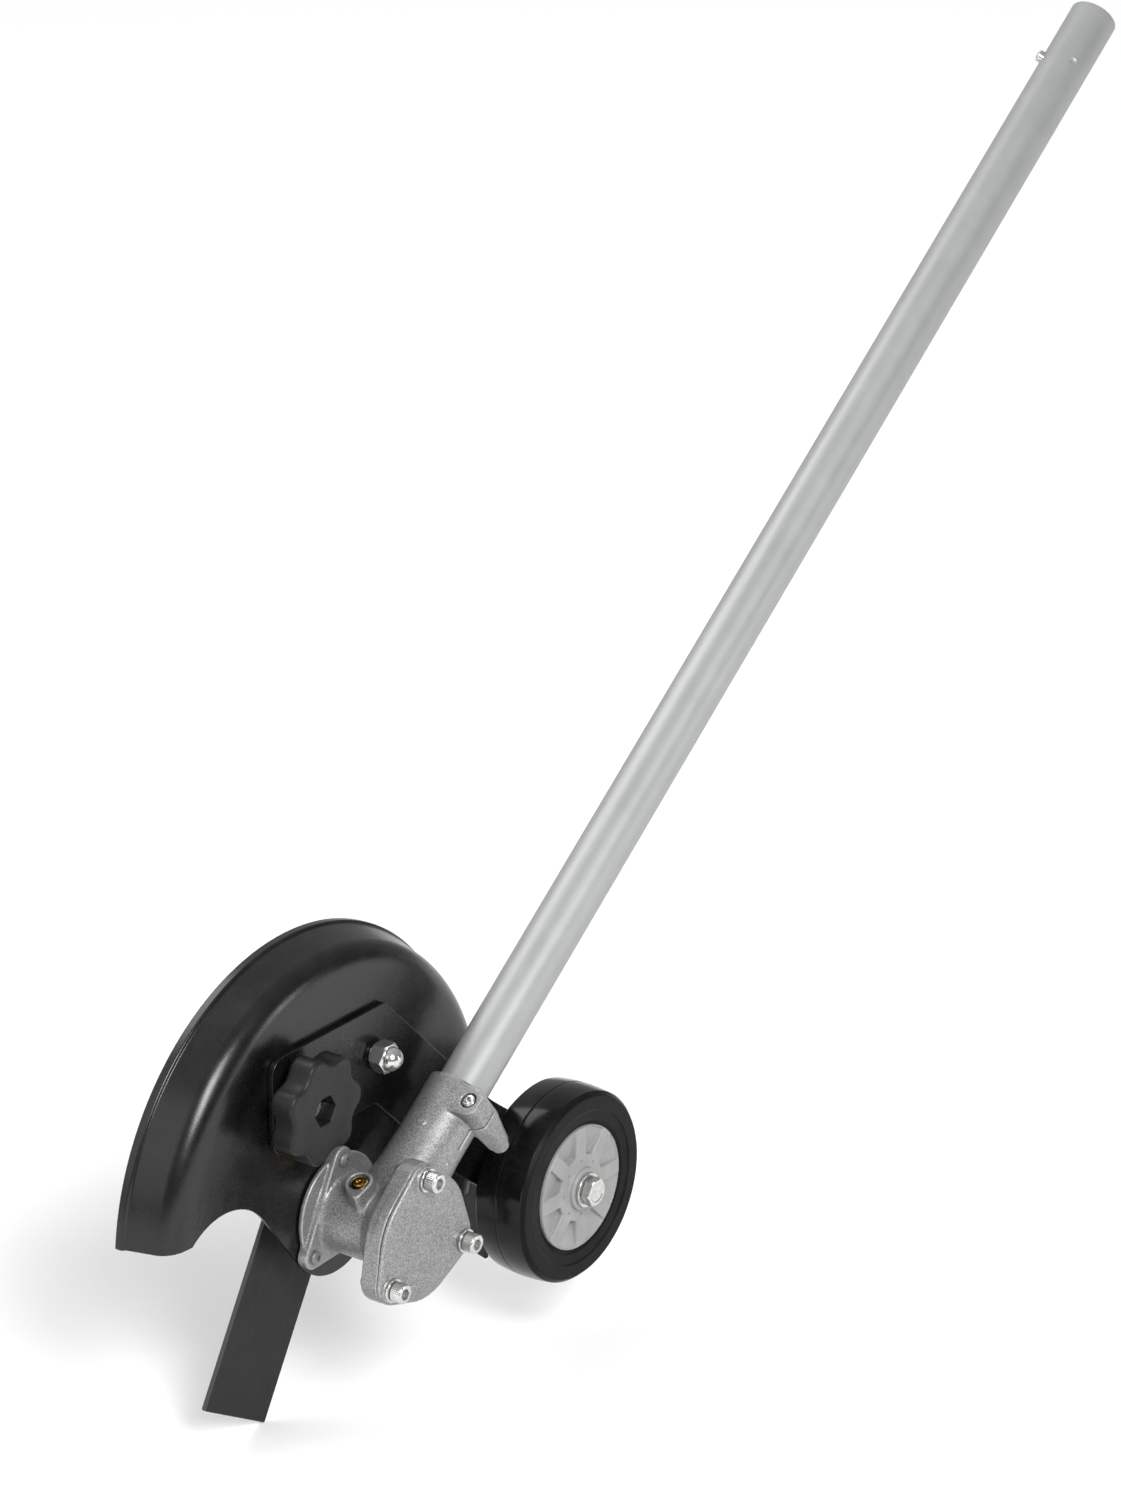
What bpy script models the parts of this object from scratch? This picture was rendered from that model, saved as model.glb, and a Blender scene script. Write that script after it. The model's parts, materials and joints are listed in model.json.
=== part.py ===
"""Lawn edger attachment for a split-shaft trimmer, in metres, +Z up.

The world origin is the centre of the drive tube's open upper end. X runs along the cutting head's spindle,
away from the blade, and Y along the ground from the cutting head towards the user. Places in the head are
given from the point where the spindle's axis crosses the tube's axis.
"""
import math

import bmesh
import bpy
from mathutils import Vector

for old in list(bpy.data.objects):
    bpy.data.objects.remove(old)

MM = 0.001
FIT = 0.3 * MM  # gap between faces that touch

# Drive tube, measured along its axis from the spindle's axis
SHAFT_RISE = math.radians(36.76)
TUBE_RADIUS = 13.0 * MM
TUBE_WALL = 1.5 * MM
TUBE_SEAT = 41.0 * MM
TUBE_LENGTH = 744.0 * MM
DIMPLE_RADIUS = 2.2 * MM
DIMPLE_DEPTH = 0.7 * MM
DIMPLE_SIDE = math.radians(46.0)
DRIVE_SIDE = 5.2 * MM
DRIVE_FOOT = 28.0 * MM
DRIVE_RECESS = 12.0 * MM
BUSH_COUNT = 3
BUSH_LENGTH = 24.0 * MM

# Spring button near the tube's upper end
BUTTON_DROP = 38.0 * MM
BUTTON_SIDE = math.radians(-54.0)
BUTTON_RADIUS = 3.4 * MM
BUTTON_PROUD = 3.2 * MM
BUTTON_FLANGE = 4.4 * MM
BUTTON_FLANGE_THICK = 1.5 * MM
BUTTON_CROWN = 1.6 * MM
BUTTON_CROWN_FALL = 0.4 * MM
SPRING_THICK = 0.8 * MM
SPRING_WIDTH = 7.0 * MM
SPRING_LENGTH = 46.0 * MM
SPRING_LEAD = 5.0 * MM

# Guard, a pressed half shell about an axis above the spindle
GUARD_FACE = -28.7 * MM
GUARD_SHEET = 1.6 * MM
GUARD_RISE = 9.2 * MM
GUARD_FLAT = 110.5 * MM
GUARD_SHOULDER = 13.0 * MM
GUARD_SHOULDER_TURN = math.radians(80.0)
GUARD_SKIRT = 127.0 * MM
GUARD_SKIRT_X = -52.0 * MM
GUARD_LIP = 1.7 * MM
GUARD_LIP_RUN = 1.0 * MM
GUARD_RIM_X = -57.3 * MM
GUARD_FRONT_Z = 22.0 * MM
GUARD_REAR_Z = -36.0 * MM
ARCH_RADIUS = 36.5 * MM
ARCH_Y = -83.0 * MM
ARCH_Z = -6.7 * MM
LOBE_RADIUS = 34.0 * MM
LOBE_END = math.radians(-45.0)
SPINDLE_WINDOW = 16.0 * MM

# Gear case, cast, with the tube socket and its split clamp
FLANGE_THICK = 6.0 * MM
FLANGE_RADIUS = 29.4 * MM
FLANGE_EAR = 6.4 * MM
FLANGE_BASE_THICK = 2.8 * MM  # round part behind the three ears
FLANGE_FLAT = 20.0 * MM  # spindle to the flat foot of the round part
FLANGE_SCREW_CIRCLE = 28.2 * MM
FLANGE_SCREW_TURNS = tuple(math.radians(turn) for turn in (92.0, 212.0, 332.0))
NECK_RADIUS = 19.6 * MM
NECK_FLARE = 3.0 * MM  # where the neck starts to widen
NECK_FLARE_RADIUS = 31.0 * MM
NECK_BORE = 16.4 * MM
CAVITY_RADIUS = 21.4 * MM
CAVITY_BACK = -9.0 * MM
CAVITY_STEP = 7.0 * MM  # where the neck's bore starts to widen round the gear
CAVITY_STEP_TOP = 11.5 * MM
BODY_BACK = 13.7 * MM
BODY_RADIUS = 32.0 * MM
BODY_EAR = 13.0 * MM
BODY_EAR_TIP = 38.5 * MM
COVER_SEAM = 23.6 * MM
COVER_THICK = 3.4 * MM
COVER_BOSS = 17.0 * MM
COVER_SCREW_CIRCLE = 31.5 * MM
COVER_SCREW_TURNS = tuple(math.radians(turn) for turn in (90.0, 210.0, 337.0))
SOCKET_ROOT = 18.6 * MM
SOCKET_ROOT_TOP = 14.0 * MM
SOCKET_WAIST = 45.0 * MM
SOCKET_RADIUS = 16.9 * MM
SOCKET_TOP = 78.0 * MM
PINION_ROOM = 14.0 * MM
PINION_ROOM_TOP = 24.4 * MM
CLAMP_X = 17.0 * MM
CLAMP_PLACE = 68.6 * MM
CLAMP_EAR = 8.0 * MM
CLAMP_TOP = 14.5 * MM
CLAMP_SEAT = 10.2 * MM
CLAMP_FOOT = -29.0 * MM
CLAMP_TIP_RADIUS = 4.4 * MM
CLAMP_TIP_LENGTH = 4.5 * MM
CLAMP_FOOT_RADIUS = 5.6 * MM
CLAMP_LUG_RADIUS = 7.6 * MM
CLAMP_TAPER = -8.0 * MM
CLAMP_PAD_FOOT = -6.0 * MM
CLAMP_SLIT = 1.4 * MM
CLAMP_SLIT_FOOT = 48.0 * MM
PLUG_X = -6.0 * MM
PLUG_TURN = math.radians(112.0)
PLUG_BOSS = 6.5 * MM
PLUG_BOSS_TOP = 27.0 * MM
PLUG_SEAT = 22.8 * MM
PLUG_WELL = 5.3 * MM
PLUG_RADIUS = 3.0 * MM
PLUG_HEX = 4.6 * MM
PLUG_HEAD = 4.0 * MM

# Spindle and bevel gears, whose pitch cones share the crossing of the axes
SPINDLE_RADIUS = 5.0 * MM
SPINDLE_SHOULDER = 7.0 * MM
SPINDLE_SHOULDER_END = -43.0 * MM
SPINDLE_TAIL = -66.0 * MM
SPINDLE_BEARING_RADIUS = 13.0 * MM
SPINDLE_BEARING_WIDTH = 8.0 * MM
INNER_BEARING_X = -22.4 * MM
SEAL_RADIUS = 14.0 * MM
SEAL_WIDTH = 4.6 * MM
GEAR_TEETH = 18
PINION_TEETH = 12
GEAR_HEEL = 12.0 * MM
GEAR_FACE = 3.9 * MM
TOOTH_RISE = math.radians(3.6)
TOOTH_DROP = math.radians(4.8)
TOOTH_TIP_SHARE = 0.14
TOOTH_ROOT_SHARE = 0.28
GEAR_HUB = 9.0 * MM
GEAR_HUB_LENGTH = 3.2 * MM
PINION_HUB = 7.0 * MM
PINION_STEM = 5.0 * MM
PINION_STEM_TOP = 40.0 * MM
PINION_BEARING_RADIUS = 11.0 * MM
PINION_BEARING_WIDTH = 6.0 * MM
PINION_BEARINGS = 2

# Blade and what holds it
BLADE_X = -49.2 * MM
BLADE_THICK = 2.5 * MM
BLADE_LENGTH = 222.0 * MM
BLADE_WIDTH = 51.0 * MM
BLADE_TILT = math.radians(30.3)
ADAPTER_RADIUS = 17.0 * MM
BLADE_WASHER_RADIUS = 15.0 * MM
BLADE_WASHER_THICK = 2.4 * MM
BLADE_NUT_HEX = 9.8 * MM
BLADE_NUT_THICK = 8.0 * MM

# Wheel bracket, a plate with an arm that joggles out to the wheel
BRACKET_THICK = 3.0 * MM
PIVOT_Y = 28.5 * MM
PIVOT_Z = 72.0 * MM
PLATE_TOP = 24.4 * MM
PLATE_FOOT = -26.0 * MM
PLATE_FRONT = -77.5 * MM
PLATE_CORNER = 9.0 * MM
ARM_FALL = math.radians(45.0)
ARM_WIDTH = 41.4 * MM
ARM_OFFSET = 2.3 * MM
ARM_REACH = 139.4 * MM
JOGGLE_LEVEL = 14.4 * MM  # flat stretch from the joggle to the axle
JOGGLE_RUN = 20.0 * MM
JOGGLE_RISE = 12.0 * MM
BOLT_RADIUS = 4.0 * MM
BOLT_HEAD_RADIUS = 9.0 * MM
BOLT_HEAD_THICK = 2.7 * MM
BOLT_HEX = 7.5 * MM
WASHER_RADIUS = 9.0 * MM
WASHER_THICK = 1.6 * MM
PIVOT_WASHER_RADIUS = 6.2 * MM
PIVOT_WASHER_THICK = 1.0 * MM
DOME_NUT_HEX = 8.2 * MM
DOME_NUT_HEX_LENGTH = 7.6 * MM
DOME_NUT_LENGTH = 13.8 * MM
DOME_RADIUS = 6.2 * MM

# Knob on its stud, which passes an arc slot in the bracket
STUD_REACH = 64.0 * MM
SLOT_UP = math.radians(11.5)
SLOT_DOWN = math.radians(15.5)
KNOB_RADIUS = 27.5 * MM
KNOB_LOBES = 7
KNOB_LOBE_DEPTH = 4.4 * MM
KNOB_THICK = 14.0 * MM
KNOB_ROUND = 2.5 * MM
KNOB_HUB = 11.0 * MM
KNOB_HUB_LENGTH = 5.2 * MM
KNOB_RECESS = 15.0 * MM
STUD_PROUD = 2.0 * MM  # beyond the knob's nut
NUT_THICK = 6.5 * MM

# Depth wheel
TYRE_MIDDLE = 9.2 * MM
TYRE_WIDTH = 30.7 * MM
TYRE_CROWN = 50.6 * MM
TYRE_SHOULDER = 49.1 * MM
TYRE_BORE = 32.7 * MM
TYRE_EDGE = 2.0 * MM
HUB_WALL = 3.7 * MM
HUB_BACK_DEPTH = 2.0 * MM
HUB_FACE_DEPTH = 0.3 * MM
HUB_WEB = 8.0 * MM
HUB_BOSS = 11.0 * MM
HUB_BOSS_PROUD = 2.6 * MM
HUB_SPOKES = 8
HUB_SPOKE_WIDTH = 8.4 * MM
HUB_PANEL_START = 17.5 * MM
HUB_PANEL_END = 31.4 * MM
HUB_PANEL_DEEP = 3.6 * MM
HUB_PANEL_SHALLOW = 1.0 * MM
AXLE_HEAD_LENGTH = 4.7 * MM
SLEEVE_WALL = 1.7 * MM
SPACER_LENGTH = 4.6 * MM
SPACER_RADIUS = 8.0 * MM

# Debris flap on the guard's rear skirt
FLAP_INNER_X = -29.8 * MM
FLAP_OUTER_X = -51.6 * MM
FLAP_THICK = 3.0 * MM
FLAP_FOOT = -78.0 * MM
FLAP_TOP_TURN = math.radians(12.0)
FLAP_HANG_TURN = math.radians(-4.0)
RIVET_RADIUS = 2.0 * MM
RIVET_HEAD = 4.0 * MM
RIVET_HEAD_THICK = 1.4 * MM
RIVET_TURNS = (math.radians(9.0), math.radians(0.0))
RIVET_X = -46.0 * MM

# Socket screws, by shank radius and head
M6_RADIUS = 3.0 * MM
M6_HEAD = 5.0 * MM
M6_HEAD_LENGTH = 6.0 * MM
M6_SOCKET = 2.9 * MM
M6_SOCKET_DEPTH = 3.0 * MM
M6_WASHER_RADIUS = 6.0 * MM
M6_WASHER_THICK = 1.4 * MM
HEAD_CHAMFER = 0.6 * MM
COVER_SCREW_GRIP = 16.0 * MM
M4_RADIUS = 2.0 * MM
M4_HEAD = 3.5 * MM
M4_HEAD_LENGTH = 4.0 * MM
M4_SOCKET = 1.7 * MM
M4_SOCKET_DEPTH = 2.0 * MM
CLAMP_SCREW_GRIP = 35.0 * MM
GUARD_SCREW_RADIUS = 2.5 * MM
GUARD_SCREW_HEAD = 3.4 * MM
GUARD_SCREW_HEAD_LENGTH = 2.0 * MM
GUARD_SCREW_CROWN = 0.8 * MM
GUARD_NUT_HEX = 4.7 * MM
GUARD_NUT_THICK = 4.5 * MM

ROUND = 16  # sides of a small round piece
LARGE_ROUND = 32
GUARD_SIDES = 52
HEX = 6
SQUARE = 4
ARC_STEPS = 8  # steps round an arc
CORNER_STEPS = 6
LONG_ARC_STEPS = 12
SHOULDER_STEPS = 5
KNOB_LOBE_STEPS = 6
TYRE_STATIONS = (0.5, 1.0, 1.5)  # across the tread, in half widths
CROWN_SHARE = 0.7  # of a low head's radius that stays flat on top
SHARP_EDGE = math.radians(35.0)  # edges that bend more than this stay sharp
CUTTER_SPARE = 4.0 * MM  # how far a cutter runs past the wall

# Worked out from the sizes above
M6 = (M6_RADIUS, M6_HEAD, M6_HEAD_LENGTH, M6_SOCKET, M6_SOCKET_DEPTH)
M4 = (M4_RADIUS, M4_HEAD, M4_HEAD_LENGTH, M4_SOCKET, M4_SOCKET_DEPTH)
ACROSS = Vector((1, 0, 0))
REAR = Vector((0, 1, 0))
UP = Vector((0, 0, 1))
ALONG = Vector((0, math.cos(SHAFT_RISE), math.sin(SHAFT_RISE)))
NORMAL = Vector((0, -math.sin(SHAFT_RISE), math.cos(SHAFT_RISE)))
SPINDLE_FRAME = (REAR, UP, ACROSS)
SHAFT_FRAME = (NORMAL, ACROSS, ALONG)
CLAMP_FRAME = (ACROSS, ALONG, NORMAL)
TUBE_TOP = TUBE_SEAT + TUBE_LENGTH
HEAD = -TUBE_TOP * ALONG
FLANGE_BACK = GUARD_FACE + FIT
BRACKET_BACK = GUARD_FACE + FIT
BRACKET_FACE = BRACKET_BACK + BRACKET_THICK
GUARD_INSIDE = GUARD_FACE - GUARD_SHEET
ARM_BASIS = (
    Vector((0, math.cos(ARM_FALL), -math.sin(ARM_FALL))),
    Vector((0, math.sin(ARM_FALL), math.cos(ARM_FALL))),
)
JOGGLE_START = ARM_REACH - JOGGLE_LEVEL - JOGGLE_RUN
PIVOT = HEAD + Vector((0, PIVOT_Y, PIVOT_Z))
AXLE = PIVOT + ARM_REACH * ARM_BASIS[0] + ARM_OFFSET * ARM_BASIS[1]
STUD = PIVOT - STUD_REACH * REAR

FINISHES = {
    "satin aluminium": ((0.62, 0.63, 0.64), 1.0, 0.38),
    "cast aluminium": ((0.42, 0.43, 0.44), 1.0, 0.55),
    "black paint": ((0.012, 0.012, 0.013), 0.0, 0.3),
    "blade steel": ((0.03, 0.03, 0.032), 0.6, 0.4),
    "zinc": ((0.66, 0.66, 0.65), 1.0, 0.22),
    "bearing steel": ((0.5, 0.5, 0.5), 1.0, 0.25),
    "brass": ((0.62, 0.43, 0.14), 1.0, 0.3),
    "black plastic": ((0.025, 0.025, 0.025), 0.0, 0.6),
    "grey plastic": ((0.5, 0.5, 0.49), 0.0, 0.45),
    "rubber": ((0.015, 0.015, 0.015), 0.0, 0.5),
}


def build(name, place, vertices, faces, finish=None):
    """A mesh object with its faces turned outwards, and its own material where a finish is named."""
    mesh = bpy.data.meshes.new(name)
    mesh.from_pydata([tuple(vertex) for vertex in vertices], [], faces)
    edit = bmesh.new()
    edit.from_mesh(mesh)
    bmesh.ops.delete(edit, geom=[vertex for vertex in edit.verts if not vertex.link_faces], context="VERTS")
    bmesh.ops.recalc_face_normals(edit, faces=edit.faces)
    edit.to_mesh(mesh)
    edit.free()
    mesh.shade_smooth()
    mesh.set_sharp_from_angle(angle=SHARP_EDGE)
    made = bpy.data.objects.new(name, mesh)
    made.location = place
    bpy.context.scene.collection.objects.link(made)
    if finish:
        colour, metallic, roughness = FINISHES[finish]
        material = bpy.data.materials.new(name)
        material.use_nodes = True
        shader = material.node_tree.nodes["Principled BSDF"]
        shader.inputs["Base Color"].default_value = (*colour, 1)
        shader.inputs["Metallic"].default_value = metallic
        shader.inputs["Roughness"].default_value = roughness
        mesh.materials.append(material)
    return made


def turn(name, place, frame, profile, finish=None, sides=ROUND):
    """A turned solid: profile lists (radius, height) once round the section; radius 0 is on the axis."""
    first, second, axis = frame
    vertices = []
    rings = []
    for radius, height in profile:
        loop = []
        for k in range(sides if radius else 1):
            angle = 2 * math.pi * k / sides
            spoke = math.cos(angle) * first + math.sin(angle) * second
            loop.append(len(vertices))
            vertices.append(height * axis + radius * spoke)
        rings.append(loop)
    faces = []
    heights = [height for _, height in profile]
    for near, far, low, high in zip(rings, rings[1:] + rings[:1], heights, heights[1:] + heights[:1]):
        if len(near) == len(far) == 1:
            continue
        if low == high and len(near) != len(far):
            faces.append(tuple(max(near, far, key=len)))
            continue
        for k in range(sides):
            n = (k + 1) % sides
            corners = [near[k % len(near)], far[k % len(far)], far[n % len(far)], near[n % len(near)]]
            faces.append(tuple(dict.fromkeys(corners)))
    return build(name, place, vertices, faces, finish)


def rod(name, place, frame, radius, low, high, finish=None, sides=ROUND):
    """A plain bar; its radius is to the corners when it has few sides."""
    profile = [(0, low), (radius, low), (radius, high), (0, high)]
    return turn(name, place, frame, profile, finish, sides)


def ring(name, place, frame, inner, outer, low, high, finish=None, sides=ROUND):
    profile = [(inner, low), (outer, low), (outer, high), (inner, high)]
    return turn(name, place, frame, profile, finish, sides)


def plate(name, place, frame, outline, low, high, finish=None):
    """A flat piece with its outline, a list of (first, second), between two heights."""
    first, second, axis = frame
    count = len(outline)
    vertices = [h * axis + a * first + b * second for h in (low, high) for a, b in outline]
    faces = [tuple(range(count)), tuple(range(count, 2 * count))]
    for k in range(count):
        n = (k + 1) % count
        faces.append((k, n, n + count, k + count))
    return build(name, place, vertices, faces, finish)


def arc(centre, radius, start, end, steps=ARC_STEPS):
    """Points of an arc, both ends included."""
    angles = [start + (end - start) * k / steps for k in range(steps + 1)]
    return [(centre[0] + radius * math.cos(a), centre[1] + radius * math.sin(a)) for a in angles]


def hull(points):
    """The convex outline round a set of points, counter-clockwise."""
    points = sorted(set(points))

    def chain(row):
        kept = []
        for p in row:
            while len(kept) > 1:
                (ax, ay), (bx, by) = kept[-2], kept[-1]
                if (bx - ax) * (p[1] - ay) - (by - ay) * (p[0] - ax) > 0:
                    break
                kept.pop()
            kept.append(p)
        return kept[:-1]

    return chain(points) + chain(points[::-1])


def eared(radius, ear, ear_circle, turns):
    """A round outline with an ear at each turn, drawn tight round the circles."""
    points = arc((0, 0), radius, 0, 2 * math.pi, LARGE_ROUND)[:-1]
    for angle in turns:
        centre = (ear_circle * math.cos(angle), ear_circle * math.sin(angle))
        points += arc(centre, ear, angle - math.pi / 2, angle + math.pi / 2)
    return hull(points)


def on_circle(radius, angle):
    return HEAD + radius * (math.cos(angle) * REAR + math.sin(angle) * UP)


def change(body, tool, operation):
    """Joins a hidden tool to a body, or cuts the body with it."""
    tool.hide_render = True
    tool.display_type = "WIRE"
    step = body.modifiers.new(tool.name, "BOOLEAN")
    step.operation = operation
    step.solver = "EXACT"
    step.object = tool
    return body


def add(body, tool):
    return change(body, tool, "UNION")


def cut(body, tool):
    return change(body, tool, "DIFFERENCE")


def button_frame():
    radial = math.cos(BUTTON_SIDE) * NORMAL + math.sin(BUTTON_SIDE) * ACROSS
    return (ALONG.cross(radial), ALONG, radial)


def drive_line():
    """The tube, the square shaft in it and the bushes that carry the shaft."""
    tube = ring(
        "outer_tube", HEAD, SHAFT_FRAME, TUBE_RADIUS - TUBE_WALL, TUBE_RADIUS, TUBE_SEAT, TUBE_TOP,
        "satin aluminium", LARGE_ROUND,
    )
    centre = HEAD + (TUBE_TOP - BUTTON_DROP) * ALONG
    reach = TUBE_RADIUS + CUTTER_SPARE
    inside = TUBE_RADIUS - TUBE_WALL - CUTTER_SPARE
    cut(tube, rod("button_hole", centre, button_frame(), BUTTON_RADIUS + FIT, inside, reach))
    side = math.cos(DIMPLE_SIDE) * NORMAL + math.sin(DIMPLE_SIDE) * ACROSS
    dimple_frame = (side.cross(ALONG), ALONG, side)
    cut(tube, rod("dimple", centre, dimple_frame, DIMPLE_RADIUS, TUBE_RADIUS - DIMPLE_DEPTH, reach))
    corner = DRIVE_SIDE / math.sqrt(2)
    drive_top = TUBE_TOP - DRIVE_RECESS
    rod("drive_shaft", HEAD, SHAFT_FRAME, corner, DRIVE_FOOT, drive_top, "bearing steel", SQUARE)
    for k in range(BUSH_COUNT):
        middle = TUBE_SEAT + TUBE_LENGTH * (k + 1) / (BUSH_COUNT + 1)
        low = middle - BUSH_LENGTH / 2
        outer = TUBE_RADIUS - TUBE_WALL - FIT
        name = f"shaft_bush_{k + 1}"
        ring(name, HEAD, SHAFT_FRAME, corner + FIT, outer, low, low + BUSH_LENGTH, "black plastic")


def spring_button():
    """The button that locks the tube in the upper shaft, and the leaf that pushes it out."""
    place = HEAD + (TUBE_TOP - BUTTON_DROP) * ALONG
    bore = TUBE_RADIUS - TUBE_WALL
    flange_top = math.sqrt(bore**2 - BUTTON_FLANGE**2) - FIT
    flange_low = flange_top - BUTTON_FLANGE_THICK
    top = TUBE_RADIUS + BUTTON_PROUD
    profile = [
        (0, flange_low), (BUTTON_FLANGE, flange_low), (BUTTON_FLANGE, flange_top),
        (BUTTON_RADIUS, flange_top), (BUTTON_RADIUS, top - BUTTON_CROWN),
        (CROWN_SHARE * BUTTON_RADIUS, top - BUTTON_CROWN_FALL), (0, top),
    ]
    turn("lock_button", place, button_frame(), profile, "zinc")
    half = SPRING_WIDTH / 2
    tail = SPRING_LEAD - SPRING_LENGTH
    leaf = [(-half, tail), (half, tail), (half, SPRING_LEAD), (-half, SPRING_LEAD)]
    leaf_top = flange_low - FIT
    leaf_low = leaf_top - SPRING_THICK
    plate("button_spring", place, button_frame(), leaf, leaf_low, leaf_top, "bearing steel")


def case_shell():
    """The cast case: flange, neck, eared body, tube socket, split clamp and plug boss, as one casting."""
    flange = eared(FLANGE_EAR, FLANGE_EAR, FLANGE_SCREW_CIRCLE, FLANGE_SCREW_TURNS)
    flange_top = FLANGE_BACK + FLANGE_THICK
    case = plate("gear_case", HEAD, SPINDLE_FRAME, flange, FLANGE_BACK, flange_top, "cast aluminium")
    dip = math.asin(FLANGE_FLAT / FLANGE_RADIUS)
    base = arc((0, 0), FLANGE_RADIUS, -dip, math.pi + dip, LARGE_ROUND)
    base_top = FLANGE_BACK + FLANGE_BASE_THICK
    add(case, plate("flange_base", HEAD, SPINDLE_FRAME, base, FLANGE_BACK + FIT, base_top))
    neck_low = FLANGE_BACK + FLANGE_THICK / 2
    neck_high = (BODY_BACK + COVER_SEAM) / 2
    neck = [
        (0, neck_low), (NECK_RADIUS, neck_low), (NECK_RADIUS, NECK_FLARE), (NECK_FLARE_RADIUS, neck_high),
        (0, neck_high),
    ]
    add(case, turn("neck", HEAD, SPINDLE_FRAME, neck, sides=LARGE_ROUND))
    body = eared(BODY_RADIUS, BODY_EAR, BODY_EAR_TIP - BODY_EAR, COVER_SCREW_TURNS)
    add(case, plate("body", HEAD, SPINDLE_FRAME, body, BODY_BACK, COVER_SEAM))
    socket = [
        (0, 0), (SOCKET_ROOT, 0), (SOCKET_ROOT, SOCKET_ROOT_TOP), (SOCKET_RADIUS, SOCKET_WAIST),
        (SOCKET_RADIUS, SOCKET_TOP), (0, SOCKET_TOP),
    ]
    add(case, turn("socket", HEAD, SHAFT_FRAME, socket, sides=LARGE_ROUND))
    clamp = HEAD + CLAMP_PLACE * ALONG + CLAMP_X * ACROSS
    tip_top = CLAMP_FOOT + CLAMP_TIP_LENGTH
    lug_top = (CLAMP_PAD_FOOT + CLAMP_SEAT) / 2
    lug = [
        (0, CLAMP_FOOT), (CLAMP_TIP_RADIUS, CLAMP_FOOT), (CLAMP_TIP_RADIUS, tip_top),
        (CLAMP_FOOT_RADIUS, tip_top), (CLAMP_LUG_RADIUS, CLAMP_TAPER), (CLAMP_LUG_RADIUS, lug_top),
        (0, lug_top),
    ]
    add(case, turn("clamp_lug", clamp, CLAMP_FRAME, lug))
    pad = arc((0, 0), CLAMP_EAR, -math.pi / 2, math.pi / 2) + [(-CLAMP_X, CLAMP_EAR), (-CLAMP_X, -CLAMP_EAR)]
    add(case, plate("clamp_pad", clamp, CLAMP_FRAME, pad, CLAMP_PAD_FOOT, CLAMP_TOP))
    add(case, rod("plug_boss", plug_place(), plug_frame(), PLUG_BOSS, NECK_BORE - FIT, PLUG_BOSS_TOP))
    return case


def plug_place():
    return HEAD + PLUG_X * ACROSS


def plug_frame():
    outward = math.cos(PLUG_TURN) * REAR + math.sin(PLUG_TURN) * UP
    return (outward.cross(ACROSS), ACROSS, outward)


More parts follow.
